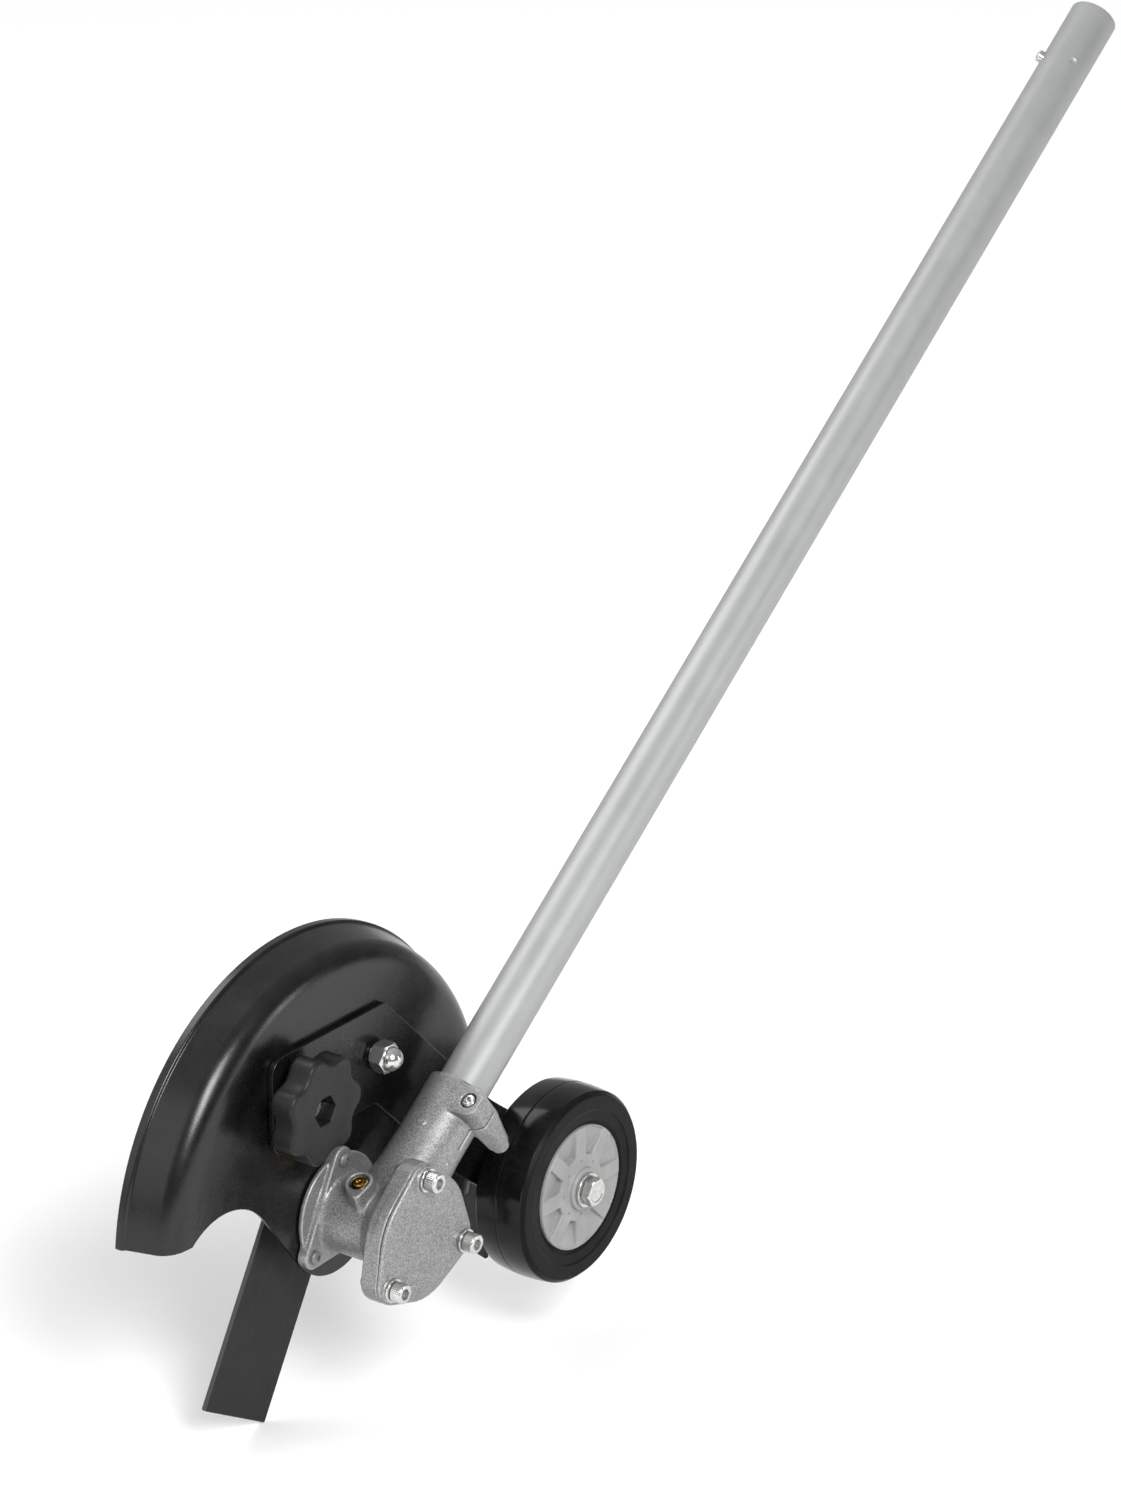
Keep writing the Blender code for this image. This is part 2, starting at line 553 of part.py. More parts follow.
def gear_case():
    case = case_shell()
    seat = SPINDLE_BEARING_RADIUS + FIT
    seal_top = INNER_BEARING_X - 2 * FIT
    bearing_top = INNER_BEARING_X + SPINDLE_BEARING_WIDTH + FIT
    hollow = [
        (0, FLANGE_BACK - CUTTER_SPARE), (SEAL_RADIUS + FIT, FLANGE_BACK - CUTTER_SPARE),
        (SEAL_RADIUS + FIT, seal_top), (seat, seal_top), (seat, bearing_top),
        (SPINDLE_SHOULDER + FIT, bearing_top), (SPINDLE_SHOULDER + FIT, CAVITY_BACK),
        (NECK_BORE, CAVITY_BACK), (NECK_BORE, CAVITY_STEP), (CAVITY_RADIUS, CAVITY_STEP_TOP),
        (CAVITY_RADIUS, COVER_SEAM + CUTTER_SPARE), (0, COVER_SEAM + CUTTER_SPARE),
    ]
    cut(case, turn("case_hollow", HEAD, SPINDLE_FRAME, hollow, sides=LARGE_ROUND))
    bore = [
        (0, 0), (PINION_ROOM, 0), (PINION_ROOM, PINION_ROOM_TOP),
        (PINION_BEARING_RADIUS + FIT, PINION_ROOM_TOP), (PINION_BEARING_RADIUS + FIT, TUBE_SEAT - FIT),
        (TUBE_RADIUS + FIT, TUBE_SEAT - FIT), (TUBE_RADIUS + FIT, SOCKET_TOP + CUTTER_SPARE),
        (0, SOCKET_TOP + CUTTER_SPARE),
    ]
    cut(case, turn("tube_bore", HEAD, SHAFT_FRAME, bore, sides=LARGE_ROUND))
    clamp = HEAD + CLAMP_PLACE * ALONG + CLAMP_X * ACROSS
    screw_way = [
        (0, CLAMP_FOOT - CUTTER_SPARE), (M4_RADIUS + FIT, CLAMP_FOOT - CUTTER_SPARE),
        (M4_RADIUS + FIT, CLAMP_SEAT), (M4_HEAD + 2 * FIT, CLAMP_SEAT),
        (M4_HEAD + 2 * FIT, CLAMP_TOP + CUTTER_SPARE), (0, CLAMP_TOP + CUTTER_SPARE),
    ]
    cut(case, turn("clamp_screw_way", clamp, CLAMP_FRAME, screw_way))
    slit_end = CLAMP_X + CLAMP_EAR + CUTTER_SPARE
    slit = [
        (TUBE_RADIUS - TUBE_WALL, CLAMP_SLIT_FOOT), (slit_end, CLAMP_SLIT_FOOT),
        (slit_end, SOCKET_TOP + CUTTER_SPARE), (TUBE_RADIUS - TUBE_WALL, SOCKET_TOP + CUTTER_SPARE),
    ]
    cut(case, plate("clamp_slit", HEAD, CLAMP_FRAME, slit, -CLAMP_SLIT / 2, CLAMP_SLIT / 2))
    low = COVER_SEAM - COVER_SCREW_GRIP
    high = COVER_SEAM + CUTTER_SPARE
    for k, angle in enumerate(COVER_SCREW_TURNS):
        place = on_circle(COVER_SCREW_CIRCLE, angle)
        cut(case, rod(f"cover_tap_{k}", place, SPINDLE_FRAME, M6_RADIUS + FIT, low, high))
    low = FLANGE_BACK - CUTTER_SPARE
    high = FLANGE_BACK + FLANGE_THICK + CUTTER_SPARE
    hole = GUARD_SCREW_RADIUS + FIT
    for k, angle in enumerate(FLANGE_SCREW_TURNS):
        place = on_circle(FLANGE_SCREW_CIRCLE, angle)
        cut(case, rod(f"flange_hole_{k}", place, SPINDLE_FRAME, hole, low, high))
    high = PLUG_BOSS_TOP + CUTTER_SPARE
    plug_way = [
        (0, SPINDLE_SHOULDER), (PLUG_RADIUS + FIT, SPINDLE_SHOULDER), (PLUG_RADIUS + FIT, PLUG_SEAT),
        (PLUG_WELL, PLUG_SEAT), (PLUG_WELL, high), (0, high),
    ]
    cut(case, turn("plug_way", plug_place(), plug_frame(), plug_way))


def gear_cover():
    """The eared end cover, with the outer bearing's seat inside it."""
    low = COVER_SEAM + FIT
    high = low + COVER_THICK
    outline = eared(BODY_RADIUS, BODY_EAR, BODY_EAR_TIP - BODY_EAR, COVER_SCREW_TURNS)
    cover = plate("gear_cover", HEAD, SPINDLE_FRAME, outline, low, high, "cast aluminium")
    boss_low = outer_bearing_x() - FIT
    add(cover, rod("cover_boss", HEAD, SPINDLE_FRAME, COVER_BOSS, boss_low, low + COVER_THICK / 2))
    seat = SPINDLE_BEARING_RADIUS + FIT
    cut(cover, rod("cover_seat", HEAD, SPINDLE_FRAME, seat, boss_low - CUTTER_SPARE, low + FIT))
    hole = M6_RADIUS + FIT
    foot = high + FIT
    top = foot + M6_WASHER_THICK
    grip = COVER_SCREW_GRIP + COVER_THICK
    for k, angle in enumerate(COVER_SCREW_TURNS):
        place = on_circle(COVER_SCREW_CIRCLE, angle)
        name = f"cover_hole_{k}"
        cut(cover, rod(name, place, SPINDLE_FRAME, hole, low - CUTTER_SPARE, high + CUTTER_SPARE))
        name = f"cover_washer_{k + 1}"
        ring(name, place, SPINDLE_FRAME, hole, M6_WASHER_RADIUS, foot, top, "zinc")
        socket_screw(f"cover_screw_{k + 1}", place, SPINDLE_FRAME, top + FIT, grip, M6)


def socket_screw(name, place, frame, seat, grip, size):
    """A cap screw with its head on the seat and its hexagon socket open upwards."""
    radius, head, length, corner, depth = size
    top = seat + length
    profile = [
        (0, seat - grip), (radius, seat - grip), (radius, seat), (head, seat), (head, top - HEAD_CHAMFER),
        (head - HEAD_CHAMFER, top), (0, top),
    ]
    screw = turn(name, place, frame, profile, "zinc")
    cut(screw, rod(name + "_key", place, frame, corner, top - depth, top + CUTTER_SPARE, sides=HEX))


def outer_bearing_x():
    return COVER_SEAM + FIT - SPINDLE_BEARING_WIDTH


def case_fittings():
    clamp = HEAD + CLAMP_PLACE * ALONG + CLAMP_X * ACROSS
    socket_screw("clamp_screw", clamp, CLAMP_FRAME, CLAMP_SEAT + FIT, CLAMP_SCREW_GRIP, M4)
    head = PLUG_SEAT + FIT
    place = plug_place()
    frame = plug_frame()
    plug = rod("grease_plug", place, frame, PLUG_HEX, head, head + PLUG_HEAD, "brass", HEX)
    add(plug, rod("plug_thread", place, frame, PLUG_RADIUS, NECK_BORE, head + PLUG_HEAD / 2))


def spindle_line():
    """The cross spindle with its bearings and seal."""
    shoulder = INNER_BEARING_X - FIT
    head = COVER_SEAM
    profile = [
        (0, SPINDLE_TAIL), (SPINDLE_RADIUS, SPINDLE_TAIL), (SPINDLE_RADIUS, SPINDLE_SHOULDER_END),
        (SPINDLE_SHOULDER, SPINDLE_SHOULDER_END), (SPINDLE_SHOULDER, shoulder), (SPINDLE_RADIUS, shoulder),
        (SPINDLE_RADIUS, head), (0, head),
    ]
    turn("spindle", HEAD, SPINDLE_FRAME, profile, "bearing steel")
    for name, low in (("inner", INNER_BEARING_X), ("outer", outer_bearing_x())):
        ring(
            f"spindle_bearing_{name}", HEAD, SPINDLE_FRAME, SPINDLE_RADIUS + FIT, SPINDLE_BEARING_RADIUS,
            low, low + SPINDLE_BEARING_WIDTH, "bearing steel",
        )
    seal_high = INNER_BEARING_X - 3 * FIT
    ring(
        "spindle_seal", HEAD, SPINDLE_FRAME, SPINDLE_SHOULDER + FIT, SEAL_RADIUS, seal_high - SEAL_WIDTH,
        seal_high, "rubber",
    )


def bevel_teeth(name, frame, teeth, pitch_angle, toe, heel, start, finish):
    """Straight teeth between two planes across the axis, all drawn to the crossing of the axes."""
    first, second, axis = frame
    tip = math.tan(pitch_angle + TOOTH_RISE)
    root = math.tan(pitch_angle - TOOTH_DROP)
    step = 2 * math.pi / teeth
    outline = []
    for k in range(teeth):
        middle = start + k * step
        for slope, share in (
            (root, -TOOTH_ROOT_SHARE), (tip, -TOOTH_TIP_SHARE),
            (tip, TOOTH_TIP_SHARE), (root, TOOTH_ROOT_SHARE),
        ):
            angle = middle + share * step
            outline.append((slope * math.cos(angle), slope * math.sin(angle)))
    count = len(outline)
    vertices = [h * (axis + a * first + b * second) for h in (toe, heel) for a, b in outline]
    faces = [tuple(range(count)), tuple(range(count, 2 * count))]
    for k in range(count):
        n = (k + 1) % count
        faces.append((k, n, n + count, k + count))
    return build(name, HEAD, vertices, faces, finish)


def bevel_gears():
    """The spindle's gear and the shaft's pinion, with a gear tooth standing in a pinion gap."""
    pitch = math.atan2(GEAR_TEETH, PINION_TEETH)
    toe_share = (GEAR_HEEL - GEAR_FACE) / GEAR_HEEL
    gear = bevel_teeth(
        "output_gear", SPINDLE_FRAME, GEAR_TEETH, pitch, GEAR_HEEL * toe_share, GEAR_HEEL, SHAFT_RISE,
        "bearing steel",
    )
    hub_top = GEAR_HEEL + GEAR_HUB_LENGTH
    middle = GEAR_HEEL - GEAR_FACE / 2
    add(gear, rod("gear_hub", HEAD, SPINDLE_FRAME, GEAR_HUB, middle, hub_top))
    cut(gear, rod("gear_bore", HEAD, SPINDLE_FRAME, SPINDLE_RADIUS + FIT, 0, hub_top + CUTTER_SPARE))
    heel = GEAR_HEEL * GEAR_TEETH / PINION_TEETH
    gap_at_gear = math.pi / 2 + math.pi / PINION_TEETH
    pinion = bevel_teeth(
        "pinion_gear", SHAFT_FRAME, PINION_TEETH, math.pi / 2 - pitch, heel * toe_share, heel, gap_at_gear,
        "bearing steel",
    )
    stem = [
        (0, heel - GEAR_FACE / 2), (PINION_HUB, heel - GEAR_FACE / 2), (PINION_HUB, PINION_ROOM_TOP),
        (PINION_STEM, PINION_ROOM_TOP), (PINION_STEM, PINION_STEM_TOP), (0, PINION_STEM_TOP),
    ]
    add(pinion, turn("pinion_stem", HEAD, SHAFT_FRAME, stem))
    socket = DRIVE_SIDE / math.sqrt(2) + FIT
    high = PINION_STEM_TOP + CUTTER_SPARE
    cut(pinion, rod("pinion_socket", HEAD, SHAFT_FRAME, socket, DRIVE_FOOT - FIT, high, sides=SQUARE))
    low = PINION_ROOM_TOP + FIT
    for k in range(PINION_BEARINGS):
        ring(
            f"pinion_bearing_{k + 1}", HEAD, SHAFT_FRAME, PINION_STEM + FIT, PINION_BEARING_RADIUS, low,
            low + PINION_BEARING_WIDTH, "bearing steel",
        )
        low += PINION_BEARING_WIDTH + FIT


def blade_set():
    """The straight blade between its adapter and washer, and the nut on the spindle's tail."""
    back = BLADE_X + BLADE_THICK / 2
    front = BLADE_X - BLADE_THICK / 2
    down = (-math.sin(BLADE_TILT), -math.cos(BLADE_TILT))
    side = (-down[1], down[0])
    outline = []
    for along, over in ((-1, -1), (1, -1), (1, 1), (-1, 1)):
        a = along * BLADE_LENGTH / 2
        b = over * BLADE_WIDTH / 2
        outline.append((a * down[0] + b * side[0], a * down[1] + b * side[1]))
    blade = plate("blade", HEAD, SPINDLE_FRAME, outline, front, back, "blade steel")
    bore = SPINDLE_RADIUS + FIT
    cut(blade, rod("blade_bore", HEAD, SPINDLE_FRAME, bore, front - CUTTER_SPARE, back + CUTTER_SPARE))
    shoulder = SPINDLE_SHOULDER_END - FIT
    ring("blade_adapter", HEAD, SPINDLE_FRAME, bore, ADAPTER_RADIUS, back + FIT, shoulder, "zinc")
    washer = front - FIT - BLADE_WASHER_THICK
    ring("blade_washer", HEAD, SPINDLE_FRAME, bore, BLADE_WASHER_RADIUS, washer, front - FIT, "zinc")
    nut_low = washer - FIT - BLADE_NUT_THICK
    hex_nut("blade_nut", HEAD, SPINDLE_FRAME, BLADE_NUT_HEX, bore, nut_low, washer - FIT)


def hex_nut(name, place, frame, corner, bore, low, high):
    nut = rod(name, place, frame, corner, low, high, "zinc", HEX)
    cut(nut, rod(name + "_bore", place, frame, bore, low - CUTTER_SPARE, high + CUTTER_SPARE))


def skirt_radius(x):
    """The skirt's outer radius on its straight stretch between the shoulder and the lip."""
    start = GUARD_FLAT + GUARD_SHOULDER * math.sin(GUARD_SHOULDER_TURN)
    start_x = GUARD_FACE - GUARD_SHOULDER * (1 - math.cos(GUARD_SHOULDER_TURN))
    return start + (GUARD_SKIRT - start) * (x - start_x) / (GUARD_SKIRT_X - start_x)


def guard_side(inset):
    """One side of the guard's sheet, from the axis to the rim; inset moves it inwards."""
    radius = GUARD_SHOULDER - inset
    centre_x = GUARD_FACE - GUARD_SHOULDER
    line = [(0, GUARD_FACE - inset)]
    for k in range(SHOULDER_STEPS + 1):
        angle = GUARD_SHOULDER_TURN * k / SHOULDER_STEPS
        line.append((GUARD_FLAT + radius * math.sin(angle), centre_x + radius * math.cos(angle)))
    lip = GUARD_SKIRT + GUARD_LIP - inset
    line += [
        (GUARD_SKIRT - inset, GUARD_SKIRT_X), (lip, GUARD_SKIRT_X - GUARD_LIP_RUN), (lip, GUARD_RIM_X),
    ]
    return line


def guard_opening():
    """What is cut away below: the front end, the arch, the lobe under the case and the rear end."""
    far = 2 * GUARD_SKIRT
    front = math.asin((GUARD_FRONT_Z - ARCH_Z) / ARCH_RADIUS)
    apart = math.hypot(ARCH_Y, ARCH_Z)
    meet = 2 * math.pi + math.atan2(ARCH_Z, ARCH_Y) - math.acos(-(ARCH_RADIUS + LOBE_RADIUS) / apart)
    outline = [(-far, -far), (-far, GUARD_FRONT_Z)]
    outline += arc((ARCH_Y, ARCH_Z), ARCH_RADIUS, math.pi - front, meet, LONG_ARC_STEPS)
    outline += arc((0, 0), LOBE_RADIUS, meet - math.pi, LOBE_END, LONG_ARC_STEPS)
    rear = math.sqrt(GUARD_SKIRT**2 - (GUARD_REAR_Z - GUARD_RISE) ** 2)
    outline += [(rear, GUARD_REAR_Z), (far, GUARD_REAR_Z), (far, -far)]
    return outline


def blade_guard():
    centre = HEAD + GUARD_RISE * UP
    profile = guard_side(0) + guard_side(GUARD_SHEET)[::-1]
    guard = turn("blade_guard", centre, SPINDLE_FRAME, profile, "black paint", GUARD_SIDES)
    low = GUARD_RIM_X - CUTTER_SPARE
    high = GUARD_FACE + CUTTER_SPARE
    cut(guard, plate("guard_opening", HEAD, SPINDLE_FRAME, guard_opening(), low, high))
    cut(guard, rod("spindle_window", HEAD, SPINDLE_FRAME, SPINDLE_WINDOW, low, high))
    for name, place in (("pivot_way", PIVOT), ("stud_way", STUD)):
        cut(guard, rod(name, place, SPINDLE_FRAME, BOLT_RADIUS + FIT, GUARD_INSIDE - CUTTER_SPARE, high))
    for k, angle in enumerate(FLANGE_SCREW_TURNS):
        place = on_circle(FLANGE_SCREW_CIRCLE, angle)
        hole = GUARD_SCREW_RADIUS + FIT
        cut(guard, rod(f"guard_hole_{k}", place, SPINDLE_FRAME, hole, GUARD_INSIDE - CUTTER_SPARE, high))
        guard_screw(k + 1, place)
    for k, angle in enumerate(RIVET_TURNS):
        cut(guard, rivet_way(f"guard_rivet_way_{k}", angle))


def guard_screw(number, place):
    """A pan head screw through the case's flange and the guard, with its nut inside the guard."""
    seat = FLANGE_BACK + FLANGE_THICK + FIT
    nut_high = GUARD_INSIDE - FIT
    nut_low = nut_high - GUARD_NUT_THICK
    tail = nut_low - FIT
    top = seat + GUARD_SCREW_HEAD_LENGTH
    edge = top - GUARD_SCREW_CROWN
    profile = [
        (0, tail), (GUARD_SCREW_RADIUS, tail), (GUARD_SCREW_RADIUS, seat), (GUARD_SCREW_HEAD, seat),
        (GUARD_SCREW_HEAD, edge), (CROWN_SHARE * GUARD_SCREW_HEAD, top), (0, top),
    ]
    turn(f"guard_screw_{number}", place, SPINDLE_FRAME, profile, "zinc")
    bore = GUARD_SCREW_RADIUS + FIT
    hex_nut(f"guard_nut_{number}", place, SPINDLE_FRAME, GUARD_NUT_HEX, bore, nut_low, nut_high)


def bracket_outline():
    """The bracket's rim as (rear, up, joggle) from the pivot, and where the arm's two bends cross it."""
    upper = ARM_OFFSET + ARM_WIDTH / 2
    lower = ARM_OFFSET - ARM_WIDTH / 2

    def arm(along, over):
        spot = along * ARM_BASIS[0] + over * ARM_BASIS[1]
        return (spot.y, spot.z)

    def on_edge(over, height):
        along = (over * math.cos(ARM_FALL) - height) / math.sin(ARM_FALL)
        return arm(along, over)

    left = PLATE_FRONT + PLATE_CORNER
    top = arc((left, PLATE_TOP - PLATE_CORNER), PLATE_CORNER, math.pi, math.pi / 2, CORNER_STEPS)
    low = PLATE_FOOT + PLATE_CORNER
    foot = arc((left, low), PLATE_CORNER, -math.pi / 2, -math.pi, CORNER_STEPS)
    bend = JOGGLE_START
    level = JOGGLE_START + JOGGLE_RUN
    plate_rim = top + [on_edge(upper, PLATE_TOP), arm(bend, upper)]
    plate_rim += [arm(bend, lower), on_edge(lower, PLATE_FOOT)] + foot
    axle = arm(ARM_REACH, ARM_OFFSET)
    tip = arc(axle, ARM_WIDTH / 2, math.pi / 2 - ARM_FALL, -math.pi / 2 - ARM_FALL, ROUND)
    end_rim = [arm(level, upper)] + tip + [arm(level, lower)]
    return plate_rim, len(top) + 1, end_rim


def wheel_bracket():
    """One bent plate: each rim point has a front and a back vertex, and the joggle lifts the arm's end."""
    plate_rim, bend, end_rim = bracket_outline()
    flat = [(a, b, 0.0) for a, b in plate_rim]
    raised = [(a, b, JOGGLE_RISE) for a, b in end_rim]
    rim = flat[: bend + 1] + raised + flat[bend + 1:]
    count = len(rim)
    first_end = bend + 1
    last_end = first_end + len(raised) - 1
    vertices = []
    for x in (BRACKET_BACK, BRACKET_FACE):
        vertices += [Vector((x + rise, a, b)) for a, b, rise in rim]
    plate_face = list(range(bend + 1)) + list(range(last_end + 1, count))
    joggle_face = [bend, first_end, last_end, last_end + 1]
    end_face = list(range(first_end, last_end + 1))
    faces = []
    for face in (plate_face, joggle_face, end_face):
        faces.append(tuple(face))
        faces.append(tuple(k + count for k in face))
    for k in range(count):
        n = (k + 1) % count
        faces.append((k, n, n + count, k + count))
    bracket = build("wheel_bracket", PIVOT, vertices, faces, "black paint")
    low = BRACKET_BACK - CUTTER_SPARE
    high = BRACKET_FACE + CUTTER_SPARE
    hole = BOLT_RADIUS + FIT
    cut(bracket, rod("bracket_pivot_hole", PIVOT, SPINDLE_FRAME, hole, low, high))
    cut(bracket, rod("bracket_axle_hole", AXLE, SPINDLE_FRAME, hole, low + JOGGLE_RISE, high + JOGGLE_RISE))
    start = math.pi - SLOT_UP
    end = math.pi + SLOT_DOWN
    outer = arc((0, 0), STUD_REACH + hole, start, end, LONG_ARC_STEPS)
    inner = arc((0, 0), STUD_REACH - hole, end, start, LONG_ARC_STEPS)
    ends = [(STUD_REACH * math.cos(a), STUD_REACH * math.sin(a)) for a in (end, start)]
    round_low = arc(ends[0], hole, end, end + math.pi)[1:-1]
    round_top = arc(ends[1], hole, start + math.pi, start + 2 * math.pi)[1:-1]
    slot = outer + round_low + inner + round_top
    cut(bracket, plate("bracket_slot", PIVOT, SPINDLE_FRAME, slot, low, high))


def carriage_bolt(name, place, tail):
    """A bolt with a low round head inside the guard."""
    head = GUARD_INSIDE - FIT
    low = head - BOLT_HEAD_THICK
    profile = [
        (0, low), (CROWN_SHARE * BOLT_HEAD_RADIUS, low), (BOLT_HEAD_RADIUS, head), (BOLT_RADIUS, head),
        (BOLT_RADIUS, tail), (0, tail),
    ]
    turn(name, place, SPINDLE_FRAME, profile, "zinc")


def washer_low():
    return BRACKET_FACE + FIT


def washer_high():
    return washer_low() + WASHER_THICK


def bracket_pivot():
    """The bolt, washer and dome nut that the bracket swings on."""
    washer_top = washer_low() + PIVOT_WASHER_THICK
    low = washer_top + FIT
    top = low + DOME_NUT_LENGTH
    hex_top = low + DOME_NUT_HEX_LENGTH
    wall = DOME_RADIUS - BOLT_RADIUS
    tail = top - wall - FIT
    carriage_bolt("pivot_bolt", PIVOT, tail)
    bore = BOLT_RADIUS + FIT
    ring("pivot_washer", PIVOT, SPINDLE_FRAME, bore, PIVOT_WASHER_RADIUS, washer_low(), washer_top, "zinc")
    nut = rod("dome_nut", PIVOT, SPINDLE_FRAME, DOME_NUT_HEX, low, hex_top, "zinc", HEX)
    straight = top - DOME_RADIUS
    dome = [(0, low + wall), (DOME_RADIUS, low + wall)]
    dome += arc((0, straight), DOME_RADIUS, 0, math.pi / 2)[:-1] + [(0, top)]
    add(nut, turn("dome", PIVOT, SPINDLE_FRAME, dome))
    cut(nut, rod("dome_bore", PIVOT, SPINDLE_FRAME, bore, low - CUTTER_SPARE, tail + FIT))


def knob_ring(scale):
    """The knob's lobed outline."""
    middle = KNOB_RADIUS - KNOB_LOBE_DEPTH / 2
    points = []
    sides = KNOB_LOBES * KNOB_LOBE_STEPS
    for k in range(sides):
        angle = 2 * math.pi * k / sides
        radius = (middle + KNOB_LOBE_DEPTH / 2 * math.cos(KNOB_LOBES * angle)) * scale
        points.append((radius * math.cos(angle), radius * math.sin(angle)))
    return points


def knob_set():
    """The lobed knob with its nut, on the stud that clamps the bracket."""
    hub_low = washer_high() + FIT
    low = hub_low + KNOB_HUB_LENGTH
    top = low + KNOB_THICK
    inset = 1 - KNOB_ROUND / KNOB_RADIUS
    layers = [(low, inset), (low + KNOB_ROUND, 1.0), (top - KNOB_ROUND, 1.0), (top, inset)]
    vertices = []
    for height, scale in layers:
        vertices += [height * ACROSS + a * REAR + b * UP for a, b in knob_ring(scale)]
    sides = len(knob_ring(1.0))
    last = sides * (len(layers) - 1)
    faces = [tuple(range(sides)), tuple(range(last, last + sides))]
    for layer in range(len(layers) - 1):
        for k in range(sides):
            n = (k + 1) % sides
            base = layer * sides
            faces.append((base + k, base + n, base + sides + n, base + sides + k))
    knob = build("knob", STUD, vertices, faces, "black plastic")
    add(knob, rod("knob_hub", STUD, SPINDLE_FRAME, KNOB_HUB, hub_low, low + KNOB_ROUND))
    hole = BOLT_RADIUS + FIT
    cut(knob, rod("knob_bore", STUD, SPINDLE_FRAME, hole, hub_low - CUTTER_SPARE, top))
    floor = top - KNOB_RECESS
    cut(knob, rod("knob_recess", STUD, SPINDLE_FRAME, BOLT_HEX + FIT, floor, top + CUTTER_SPARE, sides=HEX))
    nut_low = floor + FIT
    hex_nut("knob_nut", STUD, SPINDLE_FRAME, BOLT_HEX, hole, nut_low, nut_low + NUT_THICK)
    carriage_bolt("knob_stud", STUD, nut_low + NUT_THICK + STUD_PROUD)
    ring("knob_washer", STUD, SPINDLE_FRAME, hole, WASHER_RADIUS, washer_low(), washer_high(), "zinc")


def arm_face():
    return BRACKET_FACE + JOGGLE_RISE


def hub_top():
    return TYRE_MIDDLE + TYRE_WIDTH / 2 + HUB_BOSS_PROUD


def depth_wheel():
    """Tyre and hub on a sleeve, with the axle bolt through the arm's end."""
    half = TYRE_WIDTH / 2
    low = TYRE_MIDDLE - half
    high = TYRE_MIDDLE + half
    tyre = [(TYRE_BORE, low + TYRE_EDGE), (TYRE_BORE + TYRE_EDGE, low)]
    tyre += [(TYRE_SHOULDER - TYRE_EDGE, low), (TYRE_SHOULDER, low + TYRE_EDGE)]
    for share in TYRE_STATIONS:
        fall = (TYRE_CROWN - TYRE_SHOULDER) * (share - 1) ** 2
        tyre.append((TYRE_CROWN - fall, low + share * half))
    tyre += [(TYRE_SHOULDER, high - TYRE_EDGE), (TYRE_SHOULDER - TYRE_EDGE, high)]
    tyre += [(TYRE_BORE + TYRE_EDGE, high), (TYRE_BORE, high - TYRE_EDGE)]
    turn("tyre", AXLE, SPINDLE_FRAME, tyre, "rubber", LARGE_ROUND)
    wheel_hub(low, high)
    bore = BOLT_RADIUS + FIT
    spacer_low = arm_face() + FIT
    spacer_high = spacer_low + SPACER_LENGTH
    sleeve_low = spacer_high + FIT
    ring("axle_spacer", AXLE, SPINDLE_FRAME, bore, SPACER_RADIUS, spacer_low, spacer_high, "zinc")
    sleeve = BOLT_RADIUS + FIT + SLEEVE_WALL
    ring("axle_sleeve", AXLE, SPINDLE_FRAME, bore, sleeve, sleeve_low, hub_top(), "zinc")
    washer_foot = hub_top() + FIT
    head = washer_foot + WASHER_THICK + FIT
    ring("axle_washer", AXLE, SPINDLE_FRAME, bore, WASHER_RADIUS, washer_foot, head - FIT, "zinc")
    nut_high = BRACKET_BACK + JOGGLE_RISE - FIT
    nut_low = nut_high - NUT_THICK
    hex_nut("axle_nut", AXLE, SPINDLE_FRAME, BOLT_HEX, bore, nut_low, nut_high)
    bolt = rod("axle_bolt", AXLE, SPINDLE_FRAME, BOLT_HEX, head, head + AXLE_HEAD_LENGTH, "zinc", HEX)
    add(bolt, rod("axle_shank", AXLE, SPINDLE_FRAME, BOLT_RADIUS, nut_low, head + AXLE_HEAD_LENGTH / 2))


def wheel_hub(low, high):
    """The hub: a rim under the tyre, a face with sloping panels between its spokes, and a boss."""
    rim = TYRE_BORE - FIT
    inner = rim - HUB_WALL
    bore = BOLT_RADIUS + 2 * FIT + SLEEVE_WALL
    boss_low = arm_face() + SPACER_LENGTH + 2 * FIT
    back = low + HUB_BACK_DEPTH
    face = high - HUB_FACE_DEPTH
    web_low = face - HUB_WEB
    profile = [
        (bore, boss_low), (HUB_BOSS, boss_low), (HUB_BOSS, web_low), (inner, web_low), (inner, back),
        (rim, back), (rim, face), (HUB_BOSS, face), (HUB_BOSS, hub_top()), (bore, hub_top()),
    ]
    hub = turn("wheel_hub", AXLE, SPINDLE_FRAME, profile, "grey plastic", LARGE_ROUND)
    for k in range(HUB_SPOKES):
        cut(hub, hub_panel(f"hub_panel_{k}", 2 * math.pi * (k + 0.5) / HUB_SPOKES, face))


def hub_panel(name, angle, face):
    """A cutter between two spokes, deep near the boss and shallow at the rim."""
    corners = []
    ends = (HUB_PANEL_START, HUB_PANEL_END, HUB_PANEL_END, HUB_PANEL_START)
    for radius, side in zip(ends, (-1, -1, 1, 1)):
        open_half = math.pi / HUB_SPOKES - math.asin(HUB_SPOKE_WIDTH / 2 / radius)
        turned = angle + side * open_half
        corners.append(radius * (math.cos(turned) * REAR + math.sin(turned) * UP))
    depths = (HUB_PANEL_DEEP, HUB_PANEL_SHALLOW, HUB_PANEL_SHALLOW, HUB_PANEL_DEEP)
    vertices = [corner + (face - depth) * ACROSS for corner, depth in zip(corners, depths)]
    vertices += [corner + (face + CUTTER_SPARE) * ACROSS for corner in corners]
    faces = [(3, 2, 1, 0), (4, 5, 6, 7), (0, 1, 5, 4), (1, 2, 6, 5), (2, 3, 7, 6), (3, 0, 4, 7)]
    return build(name, AXLE, vertices, faces)


def rivet_outward(angle):
    return math.cos(angle) * REAR + math.sin(angle) * UP


